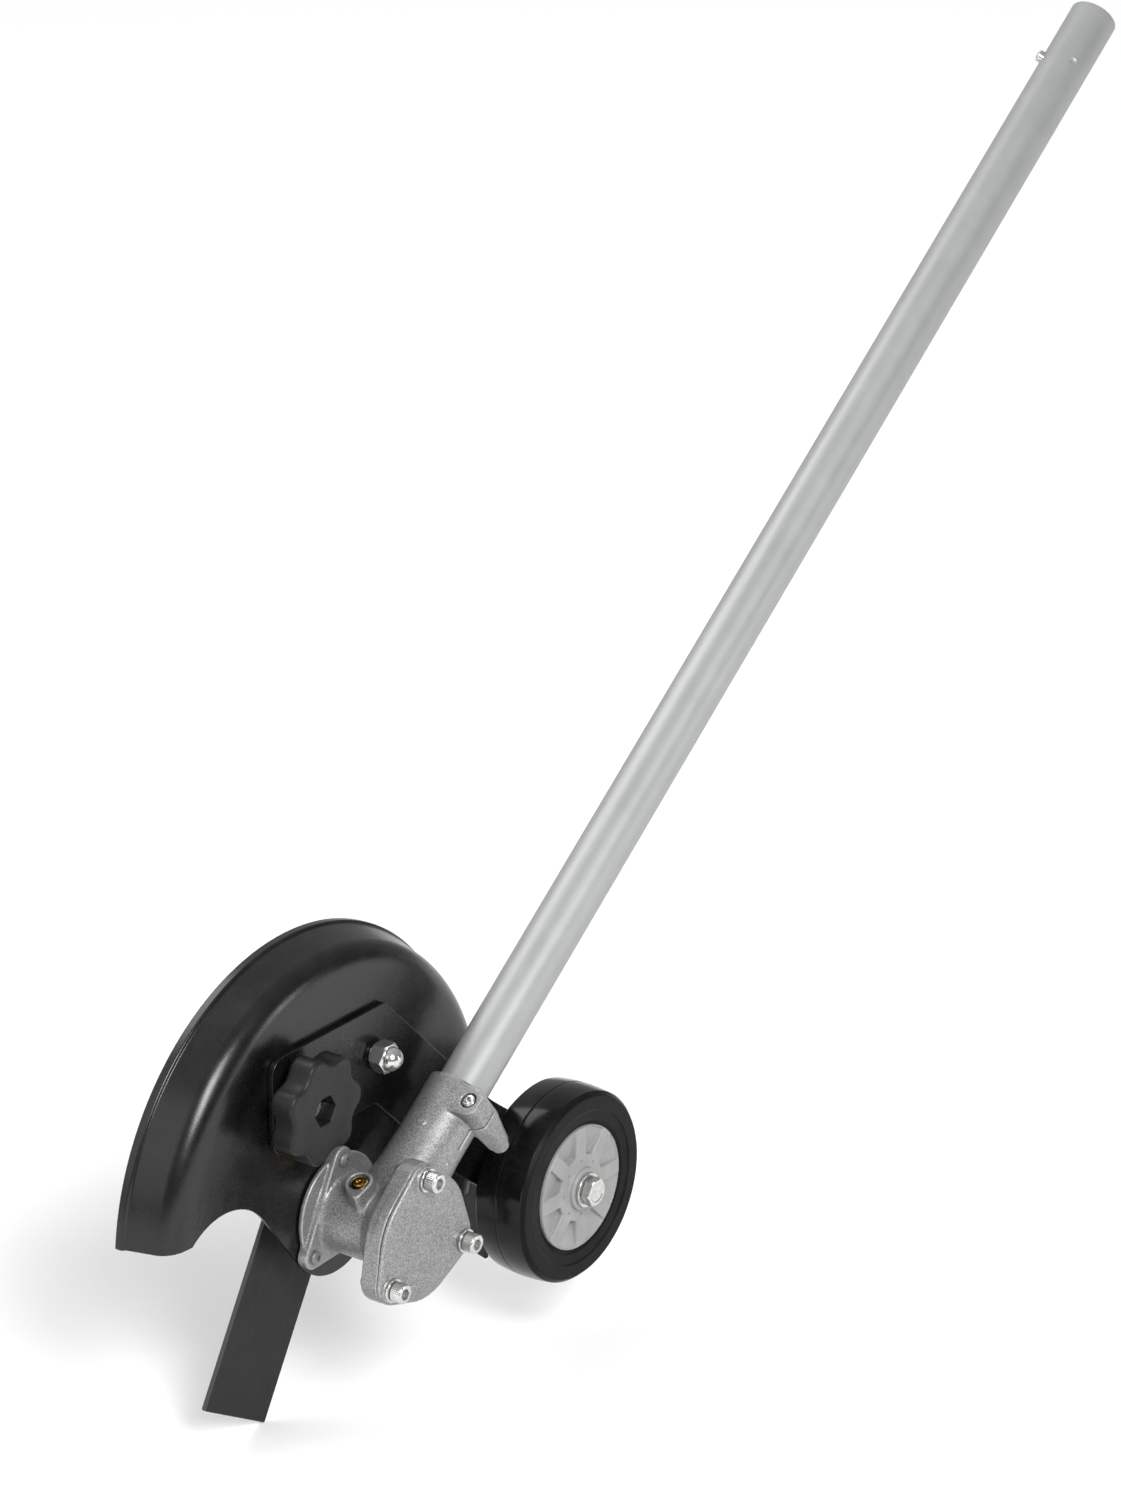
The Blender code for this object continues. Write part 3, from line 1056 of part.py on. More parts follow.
def rivet_frame(angle):
    """Square to the skirt's cone at a place round the guard."""
    spread = skirt_radius(FLAP_OUTER_X) - skirt_radius(FLAP_INNER_X)
    slope = math.atan2(spread, FLAP_INNER_X - FLAP_OUTER_X)
    outward = rivet_outward(angle)
    axis = math.cos(slope) * outward + math.sin(slope) * ACROSS
    side = ACROSS.cross(outward)
    return (side, axis.cross(side), axis)


def rivet_place(angle):
    """Where a rivet's axis meets the skirt's outer face."""
    return HEAD + GUARD_RISE * UP + RIVET_X * ACROSS + skirt_radius(RIVET_X) * rivet_outward(angle)


def rivet_way(name, angle):
    reach = FLAP_THICK + CUTTER_SPARE
    return rod(name, rivet_place(angle), rivet_frame(angle), RIVET_RADIUS + FIT, -reach, reach)


def flap_path(x, offset):
    """Down the flap at one place across it: round the skirt, then straight down, as (rear, up)."""
    radius = skirt_radius(x) + offset
    line = arc((0, GUARD_RISE), radius, FLAP_TOP_TURN, FLAP_HANG_TURN, CORNER_STEPS)
    line.append((line[-1][0], FLAP_FOOT))
    return line


def debris_flap():
    """A rubber sheet riveted round the rear of the skirt, hanging below it."""
    vertices = []
    for x in (FLAP_OUTER_X, FLAP_INNER_X):
        rim = flap_path(x, FIT) + flap_path(x, FIT + FLAP_THICK)[::-1]
        vertices += [Vector((x, a, b)) for a, b in rim]
    count = len(vertices) // 2
    faces = []
    for k in range(count):
        n = (k + 1) % count
        faces.append((k, n, n + count, k + count))
    half = count // 2
    for base in (0, count):
        for k in range(half - 1):
            faces.append((base + k, base + k + 1, base + count - 2 - k, base + count - 1 - k))
    flap = build("debris_flap", HEAD, vertices, faces, "rubber")
    for k, angle in enumerate(RIVET_TURNS):
        cut(flap, rivet_way(f"flap_rivet_way_{k}", angle))
        inside = -GUARD_SHEET - FIT
        outside = FLAP_THICK + 2 * FIT
        profile = [
            (0, inside - RIVET_HEAD_THICK), (RIVET_HEAD, inside - RIVET_HEAD_THICK), (RIVET_HEAD, inside),
            (RIVET_RADIUS, inside), (RIVET_RADIUS, outside), (RIVET_HEAD, outside),
            (CROWN_SHARE * RIVET_HEAD, outside + RIVET_HEAD_THICK), (0, outside + RIVET_HEAD_THICK),
        ]
        turn(f"flap_rivet_{k + 1}", rivet_place(angle), rivet_frame(angle), profile, "zinc")


drive_line()
spring_button()
gear_case()
gear_cover()
case_fittings()
spindle_line()
bevel_gears()
blade_set()
blade_guard()
wheel_bracket()
bracket_pivot()
knob_set()
depth_wheel()
debris_flap()
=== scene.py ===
"""Lawn edger attachment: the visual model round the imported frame.

Shapes are given in millimetres from the crossing of the spindle and the drive tube: X runs along the
spindle, away from the blade, Y towards the user and Z up. mesh_piece() turns them into metres in the
frame's own place.
"""

import json
from math import acos, asin, atan2, copysign, cos, hypot, pi, radians, sin, sqrt, tan

import bmesh
import bpy
import numpy as np
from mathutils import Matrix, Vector

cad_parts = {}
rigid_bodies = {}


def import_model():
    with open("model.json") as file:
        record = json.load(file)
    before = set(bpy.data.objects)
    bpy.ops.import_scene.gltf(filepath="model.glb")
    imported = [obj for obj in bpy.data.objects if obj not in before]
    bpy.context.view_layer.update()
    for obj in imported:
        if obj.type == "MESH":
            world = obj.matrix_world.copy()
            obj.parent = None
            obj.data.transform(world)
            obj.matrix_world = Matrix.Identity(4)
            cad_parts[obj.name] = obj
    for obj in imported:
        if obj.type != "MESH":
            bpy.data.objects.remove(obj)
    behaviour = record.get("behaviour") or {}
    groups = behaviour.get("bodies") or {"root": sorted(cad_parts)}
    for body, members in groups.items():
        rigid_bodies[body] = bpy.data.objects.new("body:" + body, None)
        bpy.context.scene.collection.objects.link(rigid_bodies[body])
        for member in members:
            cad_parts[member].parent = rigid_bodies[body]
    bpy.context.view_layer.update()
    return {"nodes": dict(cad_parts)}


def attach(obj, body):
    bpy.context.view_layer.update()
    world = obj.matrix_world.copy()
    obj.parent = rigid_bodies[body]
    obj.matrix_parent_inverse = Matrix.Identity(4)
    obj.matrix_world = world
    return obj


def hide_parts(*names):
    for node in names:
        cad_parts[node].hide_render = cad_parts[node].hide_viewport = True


for old in list(bpy.data.objects):
    bpy.data.objects.remove(old)

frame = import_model()

MM = 0.001
TAU = 2 * pi
QUARTER = pi / 2
FIT = 0.3  # the gap between pieces that meet
FAR = 40.0  # beyond the case, for cuts that go right through

X, Y, Z = np.eye(3)
ZERO = np.zeros(3)
RISE = radians(36.76)
ALONG = cos(RISE) * Y + sin(RISE) * Z
NORMAL = cos(RISE) * Z - sin(RISE) * Y
SPINDLE = (Y, Z, X)
SHAFT = (NORMAL, X, ALONG)
CLAMP = (X, ALONG, NORMAL)

# Tube and button
TUBE_TOP = 785.0
TUBE_SEAT = 41.0
TUBE_RADIUS = 13.0
TUBE_BORE = 11.5
HEAD = -TUBE_TOP * ALONG
BUTTON_DROP = 38.0
BUTTON_SIDE = -54.0
BUTTON_RADIUS = 3.4
BUTTON_FLANGE = 4.4
BUTTON_FOOT = 14.6
BUTTON_CROWN = 1.6
DENT_SIDE = 46.0

# Gear case and cover
CASE_GRID = 0.5
SEAM = 23.6
COVER_FACE = 27.3
COVER_CIRCLE = 31.5
COVER_TURNS = (90.0, 210.0, 337.0)
COVER_WASHER = 1.4
BODY_SHAPE = (32.0, 13.0, 25.5, COVER_TURNS)
FLANGE_BACK = -28.4
FLANGE_THICK = 6.0
FLANGE_CIRCLE = 28.2
FLANGE_TURNS = (92.0, 212.0, 332.0)
FLANGE_EAR = 6.4
FLANGE_RIM = 29.4
FLANGE_FOOT = 20.0
SOCKET_RADIUS = 16.9
SOCKET_ROOT = 18.6
SOCKET_TOP = 78.0
SLIT = 1.2
CLAMP_SCREW = 68.6 * ALONG + 17.0 * X
CLAMP_SEAT = 10.2
PLUG_TURN = radians(112.0)
PLUG_UP = cos(PLUG_TURN) * Y + sin(PLUG_TURN) * Z
PLUG = (np.cross(PLUG_UP, X), X, PLUG_UP)
PLUG_PLACE = -6.0 * X
PLUG_SEAT = 22.8

# Screws: shank radius, head radius, head length, socket corner, socket depth
M6 = (3.0, 5.0, 6.0, 2.9, 3.0)
M4 = (2.0, 3.5, 4.0, 1.7, 2.0)
M6_HOLE = 3.3
M5_HOLE = 2.8
BOLT_HOLE = 4.3
BOLT_RADIUS = 4.0
NUT_CORNER = 7.5
NUT_THICK = 6.5
HEAD_CHAMFER = 0.58

# Blade
BLADE_HALF = (111.0, 25.5)
BLADE_LOW = -50.45
BLADE_HIGH = -47.95
BLADE_TILT = radians(30.3)
ARBOR_HOLE = 5.3

# Guard
GUARD_FACE = -28.7
GUARD_SHEET = 1.6
GUARD_INSIDE = GUARD_FACE - GUARD_SHEET
GUARD_CENTRE = 9.2
GUARD_FLAT = 110.5
GUARD_SHOULDER = 13.0
GUARD_SLOPE = radians(80)
GUARD_LEAD = radians(8)
GUARD_LEAD_RADIUS = 50.0
SKIRT_START = (GUARD_FLAT + GUARD_SHOULDER * sin(GUARD_SLOPE),
               GUARD_FACE - GUARD_SHOULDER * (1 - cos(GUARD_SLOPE)))
GUARD_SKIRT = 127.0
GUARD_SKIRT_X = -52.0
GUARD_LIP = 128.5
GUARD_RIM_X = -57.3
GUARD_FRONT = 22.0
GUARD_REAR = -36.0
GUARD_LOBE = 34.0
ARCH = (-83.0, -6.7)
ARCH_RADIUS = 36.5
BELOW = 254.0  # beyond the guard

# Bracket, knob and wheel
STUD_REACH = 64.0
PIVOT = 28.5 * Y + 72.0 * Z
STUD = PIVOT - STUD_REACH * Y
BRACKET_BACK = -28.4
BRACKET_FACE = -25.4
PLATE_FRONT = -77.5
PLATE_FOOT = -26.0
PLATE_TOP = 24.4
PLATE_CORNER = 9.0
SLOT_START = pi - radians(11.5)
SLOT_END = pi + radians(15.5)
ARM_FALL = radians(45.0)
ARM_OUT = cos(ARM_FALL) * Y - sin(ARM_FALL) * Z
ARM_OVER = sin(ARM_FALL) * Y + cos(ARM_FALL) * Z
ARM_REACH = 139.4
ARM_OFFSET = 2.3
ARM_HALF = 20.7
ARM_STEP = 12.0
ARM_STEP_START = 105.0
ARM_STEP_RUN = 20.0
KNOB_RADIUS = 27.5
KNOB_LOBES = 7
AXLE = PIVOT + ARM_REACH * ARM_OUT + ARM_OFFSET * ARM_OVER
WHEEL_LOW = -6.15
WHEEL_HIGH = 24.55
TYRE_CROWN = 50.6
TYRE_SHOULDER = 49.1
TYRE_BORE = 32.7
TREAD_EDGE = 48.4
HUB_GRID = 0.55
HUB_TOP = WHEEL_HIGH + 2.6
HUB_RADIUS = 32.4
HUB_SPOKES = 8
PANEL_INNER = 17.5
SPACER = 4.6
AXLE_WASHER = 1.6

# Flap
FLAP_BACK = -51.6
FLAP_FRONT = -29.8
FLAP_THICK = 3.0
FLAP_FOOT = -78.0
FLAP_WRAP = (radians(12), radians(-4), 14)  # start and end round the skirt, steps
RIVET_X = -46.0
RIVET_TURNS = (9.0, 0.0)


# Meshes

def mesh_piece(name, shape):
    """An object from (points in mm, faces)."""
    points, faces = shape
    mesh = bpy.data.meshes.new(name)
    mesh.from_pydata([tuple(p) for p in (np.asarray(points) + HEAD) * MM], [], [tuple(f) for f in faces])
    edit = bmesh.new()
    edit.from_mesh(mesh)
    bmesh.ops.remove_doubles(edit, verts=edit.verts, dist=1e-7)
    bmesh.ops.recalc_face_normals(edit, faces=edit.faces)
    edit.to_mesh(mesh)
    edit.free()
    piece = bpy.data.objects.new(name, mesh)
    bpy.context.scene.collection.objects.link(piece)
    return piece


def fine(node, shape, slot, body="frame", sharp=32.0, materials=None):
    """The finer piece that stands for one CAD node."""
    piece = mesh_piece(node + "_fine", shape)
    dress(piece, slot, body, [node], sharp, materials)
    return piece


def dress(piece, slot, body, replaces, sharp=32.0, materials=None):
    """Shading, material, body and CAD nodes of a finished shape."""
    piece.data.shade_smooth()
    piece.data.set_sharp_from_angle(angle=radians(sharp))
    level = piece.modifiers.new("normals", "WEIGHTED_NORMAL")
    level.keep_sharp = True
    settle(piece)
    piece.data.materials.clear()
    for finish in materials or [FINISH[slot]]:
        piece.data.materials.append(finish)
    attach(piece, body)
    if replaces:
        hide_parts(*replaces)


def settle(piece):
    """Replaces a piece's mesh by what its modifiers make of it."""
    bpy.context.view_layer.update()
    graph = bpy.context.evaluated_depsgraph_get()
    done = bpy.data.meshes.new_from_object(piece.evaluated_get(graph))
    piece.modifiers.clear()
    piece.data = done


def carve(piece, tools):
    """Cuts a piece with shapes, which go afterwards."""
    cutters = [mesh_piece(f"cutter_{k}", tool) for k, tool in enumerate(tools)]
    for cutter in cutters:
        step = piece.modifiers.new(cutter.name, "BOOLEAN")
        step.operation = "DIFFERENCE"
        step.solver = "EXACT"
        step.object = cutter
    settle(piece)
    for cutter in cutters:
        bpy.data.objects.remove(cutter)


def read_out(edit):
    """The points and faces of an edited mesh, which is given up."""
    edit.verts.index_update()
    points = np.array([tuple(v.co) for v in edit.verts])
    faces = [tuple(v.index for v in f.verts) for f in edit.faces]
    edit.free()
    return points, faces


def arc(centre, radius, start, end, steps):
    turns = np.linspace(start, end, steps + 1)
    return [(centre[0] + radius * cos(t), centre[1] + radius * sin(t)) for t in turns]


def round_edge(radius, steps):
    """Pairs of (rise, inset) over an edge with a radius, from its face to its side."""
    return [(radius * (1 - cos(t)), radius * (1 - sin(t))) for t in np.linspace(0, QUARTER, steps + 1)]


def circle_loop(centre, radius, steps=32):
    return arc(centre, radius, 0, TAU, steps)[:-1]


def fillet(points, radius, steps, closed=True):
    """A polygon with its corners rounded; each radius gives way to short sides."""
    made = []
    count = len(points)
    for k, corner in enumerate(points):
        if not closed and k in (0, count - 1):
            made.append(tuple(corner))
            continue
        here = np.array(corner, float)
        back = np.array(points[k - 1], float) - here
        ahead = np.array(points[(k + 1) % count], float) - here
        room = min(np.linalg.norm(back), np.linalg.norm(ahead))
        back /= max(np.linalg.norm(back), 1e-9)
        ahead /= max(np.linalg.norm(ahead), 1e-9)
        half = acos(max(-1.0, min(1.0, float(back @ ahead)))) / 2
        if half > radians(88) or half < radians(2):
            made.append(tuple(corner))
            continue
        reach = min(radius / tan(half), 0.45 * room)
        bend = reach * tan(half)
        middle = here + (back + ahead) / np.linalg.norm(back + ahead) * bend / sin(half)
        start = here + back * reach - middle
        end = here + ahead * reach - middle
        sweep = pi - 2 * half
        side = 1 if start[0] * end[1] - start[1] * end[0] > 0 else -1
        for t in np.linspace(0, sweep * side, steps + 1):
            turn = np.array((start[0] * cos(t) - start[1] * sin(t),
                             start[0] * sin(t) + start[1] * cos(t)))
            made.append(tuple(middle + turn))
    return made


def bands(rows, count, closed=False):
    """Faces between neighbouring rows of points that go round."""
    faces = []
    for row in range(rows if closed else rows - 1):
        low = row * count
        high = (row + 1) % rows * count
        faces += [(low + k, low + (k + 1) % count, high + (k + 1) % count, high + k) for k in range(count)]
    return faces


def spin(axes, place, profile, sides):
    """A turned shape from a profile of (radius, height), where either may be a function of the angle.

    A profile that starts and ends on the axis stays open there; any other one is closed.
    """
    first, second, axis = axes
    turns = np.arange(sides) * TAU / sides
    spokes = np.cos(turns)[:, None] * first + np.sin(turns)[:, None] * second

    def around(value):
        values = [value(t) for t in turns] if callable(value) else [float(value)] * sides
        return np.array(values)[:, None]

    points = [np.asarray(place) + around(r) * spokes + around(h) * axis for r, h in profile]
    on_axis = all(abs(profile[k][0]) < 1e-6 for k in (0, -1))
    return merge(np.concatenate(points), bands(len(profile), sides, not on_axis))


def merge(points, faces):
    """Points on the axis become one, and faces that lose a side keep the rest."""
    keys = {}
    index = []
    kept = []
    for p in points:
        key = tuple(np.round(p, 4))
        if key not in keys:
            keys[key] = len(kept)
            kept.append(p)
        index.append(keys[key])
    clean = []
    for face in faces:
        ring = list(dict.fromkeys(index[k] for k in face))
        if len(ring) > 2:
            clean.append(tuple(ring))
    return np.array(kept), clean


def lathe(axes, place, section, edge, sides=64):
    """A turned ring from a closed section with its corners rounded."""
    return spin(axes, place, fillet(section, edge, 4), sides)


def washer(place, bore, radius, low, high, edge=0.3):
    return lathe(SPINDLE, place, [(bore, low), (radius, low), (radius, high), (bore, high)], edge)


def hexagon(corner):
    """The radius of a hexagon as a function of the angle."""
    flat = corner * cos(pi / 6)

    def radius(t):
        return flat / cos(t % (pi / 3) - pi / 6)

    return radius


def hex_piece(place, corner, low, high, bore, top=()):
    """A nut with chamfered corners; top adds a profile above it that ends on the axis."""
    across = hexagon(corner)
    flat = corner * cos(pi / 6) * 0.97
    slope = tan(radians(30))

    def fall(t):
        return (across(t) - flat) * slope

    ring = [(flat, low), (across, lambda t: low + fall(t)), (across, lambda t: high - fall(t)), (flat, high)]
    if top:
        return spin(SPINDLE, place, [(0, low)] + ring + list(top), 72)
    chamfer = min(0.6, bore / 6)
    line = [(bore, low)] + ring + [(bore + chamfer, high), (bore, high - chamfer)]
    return spin(SPINDLE, place, line, 72)


def offset(loop, amount):
    """A closed loop moved to its left."""
    here = np.array(loop, float)
    ahead = np.roll(here, -1, 0) - here
    ahead /= np.linalg.norm(ahead, axis=1)[:, None]
    back = np.roll(ahead, 1, 0)
    left = np.stack((-ahead[:, 1], ahead[:, 0]), 1)
    before = np.stack((-back[:, 1], back[:, 0]), 1)
    mitre = left + before
    mitre /= np.maximum((mitre * left).sum(1), 0.5)[:, None]
    return here + amount * mitre


def wound(loop, anticlockwise):
    here = np.array(loop, float)
    area = (here[:, 0] * np.roll(here[:, 1], -1) - np.roll(here[:, 0], -1) * here[:, 1]).sum()
    return here if (area > 0) == anticlockwise else here[::-1]


def plate(place, outline, holes, low, high, edge):
    """A flat piece across the spindle, with holes and rounded edges."""
    loops = [wound(outline, True)] + [wound(hole, False) for hole in holes]
    bend = round_edge(edge, 3)
    rings = [(low + rise, inset) for rise, inset in bend]
    rings += [(high - rise, inset) for rise, inset in bend[::-1]]
    edit = bmesh.new()
    caps = ([], [])
    for loop in loops:
        rows = []
        for height, inset in rings:
            rows.append([edit.verts.new(place + a * Y + b * Z + height * X) for a, b in offset(loop, inset)])
        count = len(loop)
        for row, other in zip(rows, rows[1:]):
            for k in range(count):
                edit.faces.new((row[k], row[(k + 1) % count], other[(k + 1) % count], other[k]))
        for cap, row in zip(caps, (rows[0], rows[-1])):
            cap += [edit.edges.get((row[k], row[(k + 1) % count])) for k in range(count)]
    for cap in caps:
        bmesh.ops.triangle_fill(edit, use_beauty=True, edges=cap, normal=Vector(X))
    return read_out(edit)


def hull(points):
    """The convex outline round a set of points, anticlockwise."""
    points = sorted(set((round(a, 5), round(b, 5)) for a, b in points))

    def chain(row):
        kept = []
        for p in row:
            while len(kept) > 1:
                (ax, ay), (bx, by) = kept[-2], kept[-1]
                if (bx - ax) * (p[1] - ay) - (by - ay) * (p[0] - ax) > 0:
                    break
                kept.pop()
            kept.append(p)
        return kept[:-1]

    return chain(points) + chain(points[::-1])


def ring_places(circle, turns):
    return [(circle * cos(radians(t)), circle * sin(radians(t))) for t in turns]


def ring_spots(circle, turns):
    return [a * Y + b * Z for a, b in ring_places(circle, turns)]


COVER_SPOTS = ring_spots(COVER_CIRCLE, COVER_TURNS)
FLANGE_SPOTS = ring_spots(FLANGE_CIRCLE, FLANGE_TURNS)


def eared(radius, ear, circle, turns):
    """The outline stretched round a disc and the ears on a circle about it."""
    points = arc((0, 0), radius, 0, TAU, 120)
    for centre in ring_places(circle, turns):
        points += arc(centre, ear, 0, TAU, 60)
    return hull(points)[::3]


# Cast shapes, as distances in a grid

class Field:
    """Points of a grid, with the distances that cast shapes are made from."""

    def __init__(self, low, high, step):
        self.step = step
        self.low = np.array(low, float)
        counts = np.ceil((np.array(high) - self.low) / step).astype(int) + 1
        rows = [self.low[k] + step * np.arange(counts[k]) for k in range(3)]
        grids = np.meshgrid(*rows, indexing="ij")
        self.place = np.stack(grids, -1).astype(np.float32)

    def local(self, axes, place):
        away = self.place - np.asarray(place, np.float32)
        return [away @ axis.astype(np.float32) for axis in axes]

    def bar(self, axes, place, radius, low, high, edge=0.0):
        """A round bar; radius may be a list of (height, radius) along it."""
        a, b, h = self.local(axes, place)
        out = np.hypot(a, b)
        if isinstance(radius, list):
            heights, radii = zip(*radius)
            out = (out - np.interp(h, heights, radii).astype(np.float32)) * 0.97
        else:
            out = out - radius
        return self.ends(out, h, low, high, edge)

    def prism(self, axes, place, outline, low, high, edge=0.0):
        """A bar with a convex outline, anticlockwise."""
        a, b, h = self.local(axes, place)
        out = np.full(a.shape, -1e9, np.float32)
        for (ax, ay), (bx, by) in zip(outline, outline[1:] + outline[:1]):
            long = hypot(bx - ax, by - ay)
            out = np.maximum(out, ((by - ay) * (a - ax) - (bx - ax) * (b - ay)) / long)
        return self.ends(out, h, low, high, edge)

    @staticmethod
    def ends(out, h, low, high, edge):
        cap = np.abs(h - (low + high) / 2) - (high - low) / 2
        if not edge:
            return np.maximum(out, cap)
        out = out + edge
        cap = cap + edge
        outside = np.hypot(np.maximum(out, 0), np.maximum(cap, 0))
        return np.minimum(np.maximum(out, cap), 0) + outside - edge

    def mesh(self, values):
        """The surface where the distance is nought, one point in each cell that it crosses."""
        inside = values < 0
        shape = tuple(n - 1 for n in values.shape)
        total = np.zeros((*shape, 3), np.float32)
        count = np.zeros(shape, np.int32)
        crossed = []
        for axis in range(3):
            low = tuple(slice(None, -1) if k == axis else slice(None) for k in range(3))
            high = tuple(slice(1, None) if k == axis else slice(None) for k in range(3))
            spot = np.argwhere(inside[low] != inside[high])
            start = values[low][tuple(spot.T)]
            end = values[high][tuple(spot.T)]
            point = spot.astype(np.float32)
            point[:, axis] += start / (start - end)
            cells = []
            for da, db in ((-1, -1), (0, -1), (0, 0), (-1, 0)):
                cell = spot.copy()
                cell[:, (axis + 1) % 3] += da
                cell[:, (axis + 2) % 3] += db
                np.add.at(total, tuple(cell.T), point)
                np.add.at(count, tuple(cell.T), 1)
                cells.append(cell)
            crossed.append((cells, start < 0))
        used = count > 0
        number = np.full(shape, -1)
        number[used] = np.arange(used.sum())
        points = total[used] / count[used][:, None] * self.step + self.low
        faces = []
        for cells, outward in crossed:
            quads = np.stack([number[tuple(cell.T)] for cell in cells], 1)
            quads[~outward] = quads[~outward][:, ::-1]
            faces += quads.tolist()
        return points, faces


def join(first, second, soft):
    """Two distances joined with a soft corner between them."""
    share = np.clip(0.5 + 0.5 * (second - first) / soft, 0, 1)
    return second + (first - second) * share - soft * share * (1 - share)


def cast(name, shape, slot, body, replaces, passes=2):
    """A piece from a grid, with its facets smoothed."""
    piece = mesh_piece(name, shape)
    soften = piece.modifiers.new("soften", "SMOOTH")
    soften.factor = 0.5
    soften.iterations = passes
    settle(piece)
    dress(piece, slot, body, replaces, sharp=50.0)


# Materials

class Graph:
    """Short ways to add shader nodes to a tree."""

    def __init__(self, tree):
        self.tree = tree

    def add(self, kind, inputs, **settings):
        """A node with its settings; each input takes a value or another node's output."""
        node = self.tree.nodes.new("ShaderNode" + kind)
        for name, value in settings.items():
            setattr(node, name, value)
        for socket, value in inputs.items():
            if isinstance(value, bpy.types.NodeSocket):
                self.tree.links.new(value, node.inputs[socket])
            else:
                node.inputs[socket].default_value = value
        return node

    def ramp(self, source, low, high, start, end):
        """A value mapped from low..high to start..end."""
        inputs = {"Value": source, "From Min": low, "From Max": high, "To Min": start, "To Max": end}
        return self.add("MapRange", inputs).outputs["Result"]

    def math(self, kind, first, second):
        return self.add("Math", {0: first, 1: second}, operation=kind).outputs["Value"]

    def vector_math(self, kind, first, second):
        return self.add("VectorMath", {0: first, 1: second}, operation=kind).outputs["Value"]


class Finish(Graph):
    """A new material, with short ways to add its textures."""

    def __init__(self, name, colour, metallic, roughness, **sockets):
        self.made = bpy.data.materials.new(name)
        self.made.use_nodes = True
        super().__init__(self.made.node_tree)
        self.shader = self.tree.nodes["Principled BSDF"]
        sockets |= {"Base_Color": (*colour, 1), "Metallic": metallic, "Roughness": roughness}
        for socket, value in sockets.items():
            self.shader.inputs[socket.replace("_", " ")].default_value = value
        self.coord = self.add("TexCoord", {}).outputs["Object"]

    def turned(self, rotation, scale):
        """Coordinates turned first and stretched after."""
        after = self.add("Mapping", {"Vector": self.coord, "Rotation": rotation}).outputs["Vector"]
        return self.add("Mapping", {"Vector": after, "Scale": scale}).outputs["Vector"]

    def noise(self, scale, detail, rough=0.55, vector=None):
        inputs = {"Scale": scale, "Detail": detail, "Roughness": rough}
        inputs["Vector"] = self.coord if vector is None else vector
        return self.add("TexNoise", inputs).outputs["Fac"]

    def cells(self, scale):
        return self.add("TexVoronoi", {"Vector": self.coord, "Scale": scale}).outputs["Distance"]

    def edges(self):
        """Above a half on raised edges and below it in corners, from the mesh's own bend."""
        return self.add("NewGeometry", {}).outputs["Pointiness"]

    def spread(self, source, start=0.0, end=1.0):
        """A noise mapped to start..end."""
        return self.ramp(source, 0.3, 0.7, start, end)

    def blend(self, share, first, second):
        """Two colours mixed by a value; a colour may be another mix."""
        inputs = {"Factor": share}
        for socket, colour in ((6, first), (7, second)):
            inputs[socket] = (*colour, 1) if isinstance(colour, tuple) else colour
        return self.add("Mix", inputs, data_type="RGBA").outputs[2]

    def show(self, colour, roughness, *layers):
        """Links what the shader shows; layers are bumps, (height, strength, distance in metres)."""
        bump = {}
        for height, strength, distance in layers:
            bump |= {"Height": height, "Strength": strength, "Distance": distance}
            bump["Normal"] = self.add("Bump", bump).outputs["Normal"]
        shown = {"Base Color": colour, "Roughness": roughness, "Normal": bump["Normal"]}
        for socket, source in shown.items():
            self.tree.links.new(source, self.shader.inputs[socket])
        return self.made


def grey(level, blue=0.0):
    return (level, level, level + blue)


def tube_aluminium():
    n = Finish("tube_aluminium", (0.3, 0.303, 0.306), 0.4, 0.42, Anisotropic=0.3)
    drawn = n.noise(1.0, 3.0, vector=n.turned((-RISE, 0, 0), (1500, 24, 1500)))
    cloud = n.noise(60.0, 5.0)
    specks = n.ramp(n.cells(240.0), 0.0, 0.16, 1.0, 0.0)
    rare = n.ramp(n.noise(150.0, 1.0), 0.66, 0.72, 0.0, 0.55)
    base = n.blend(n.spread(cloud), (0.296, 0.299, 0.302), (0.318, 0.321, 0.324))
    base = n.blend(n.math("MULTIPLY", specks, rare), base, grey(0.22))
    rough = n.math("ADD", n.spread(drawn, 0.38, 0.47), n.spread(cloud, 0.01, 0.05))
    return n.show(base, rough, (drawn, 0.12, 0.00006), (n.noise(2600.0, 2.0), 0.1, 0.00005))


def cast_aluminium():
    n = Finish("cast_aluminium", grey(0.19, 0.003), 0.5, 0.3)
    grain = n.noise(1250.0, 3.0, 0.7)
    cloud = n.noise(95.0, 5.0)
    worn = n.ramp(n.edges(), 0.51, 0.58, 0.0, 0.75)
    # painted shade: darker grey in corners and hollows, found from the mesh's bend, where shade would fall
    crevice_shade = n.ramp(n.edges(), 0.43, 0.49, 0.7, 0.0)
    base = n.blend(n.spread(cloud), grey(0.13, 0.003), grey(0.165, 0.003))
    base = n.blend(n.ramp(grain, 0.4, 0.62, 0.0, 1.0), base, grey(0.33))
    base = n.blend(worn, base, grey(0.55))
    base = n.blend(crevice_shade, base, grey(0.1))
    waves = n.noise(330.0, 2.0)
    return n.show(base, n.spread(grain, 0.32, 0.46), (grain, 0.7, 0.00016), (waves, 0.22, 0.0003))


def black_paint():
    n = Finish("black_paint", grey(0.004, 0.0002), 0.0, 0.21, Specular_IOR_Level=0.38)
    peel = n.noise(260.0, 2.0)
    fine_grain = n.noise(1900.0, 3.0)
    dust = n.noise(40.0, 6.0, 0.65)
    base = n.blend(n.ramp(dust, 0.4, 0.75, 0.0, 1.0), grey(0.0032, 0.0002), grey(0.008, 0.0003))
    rough = n.math("ADD", n.spread(dust, 0.23, 0.31), n.spread(fine_grain, -0.02, 0.02))
    return n.show(base, rough, (peel, 0.08, 0.0004), (fine_grain, 0.06, 0.00008))


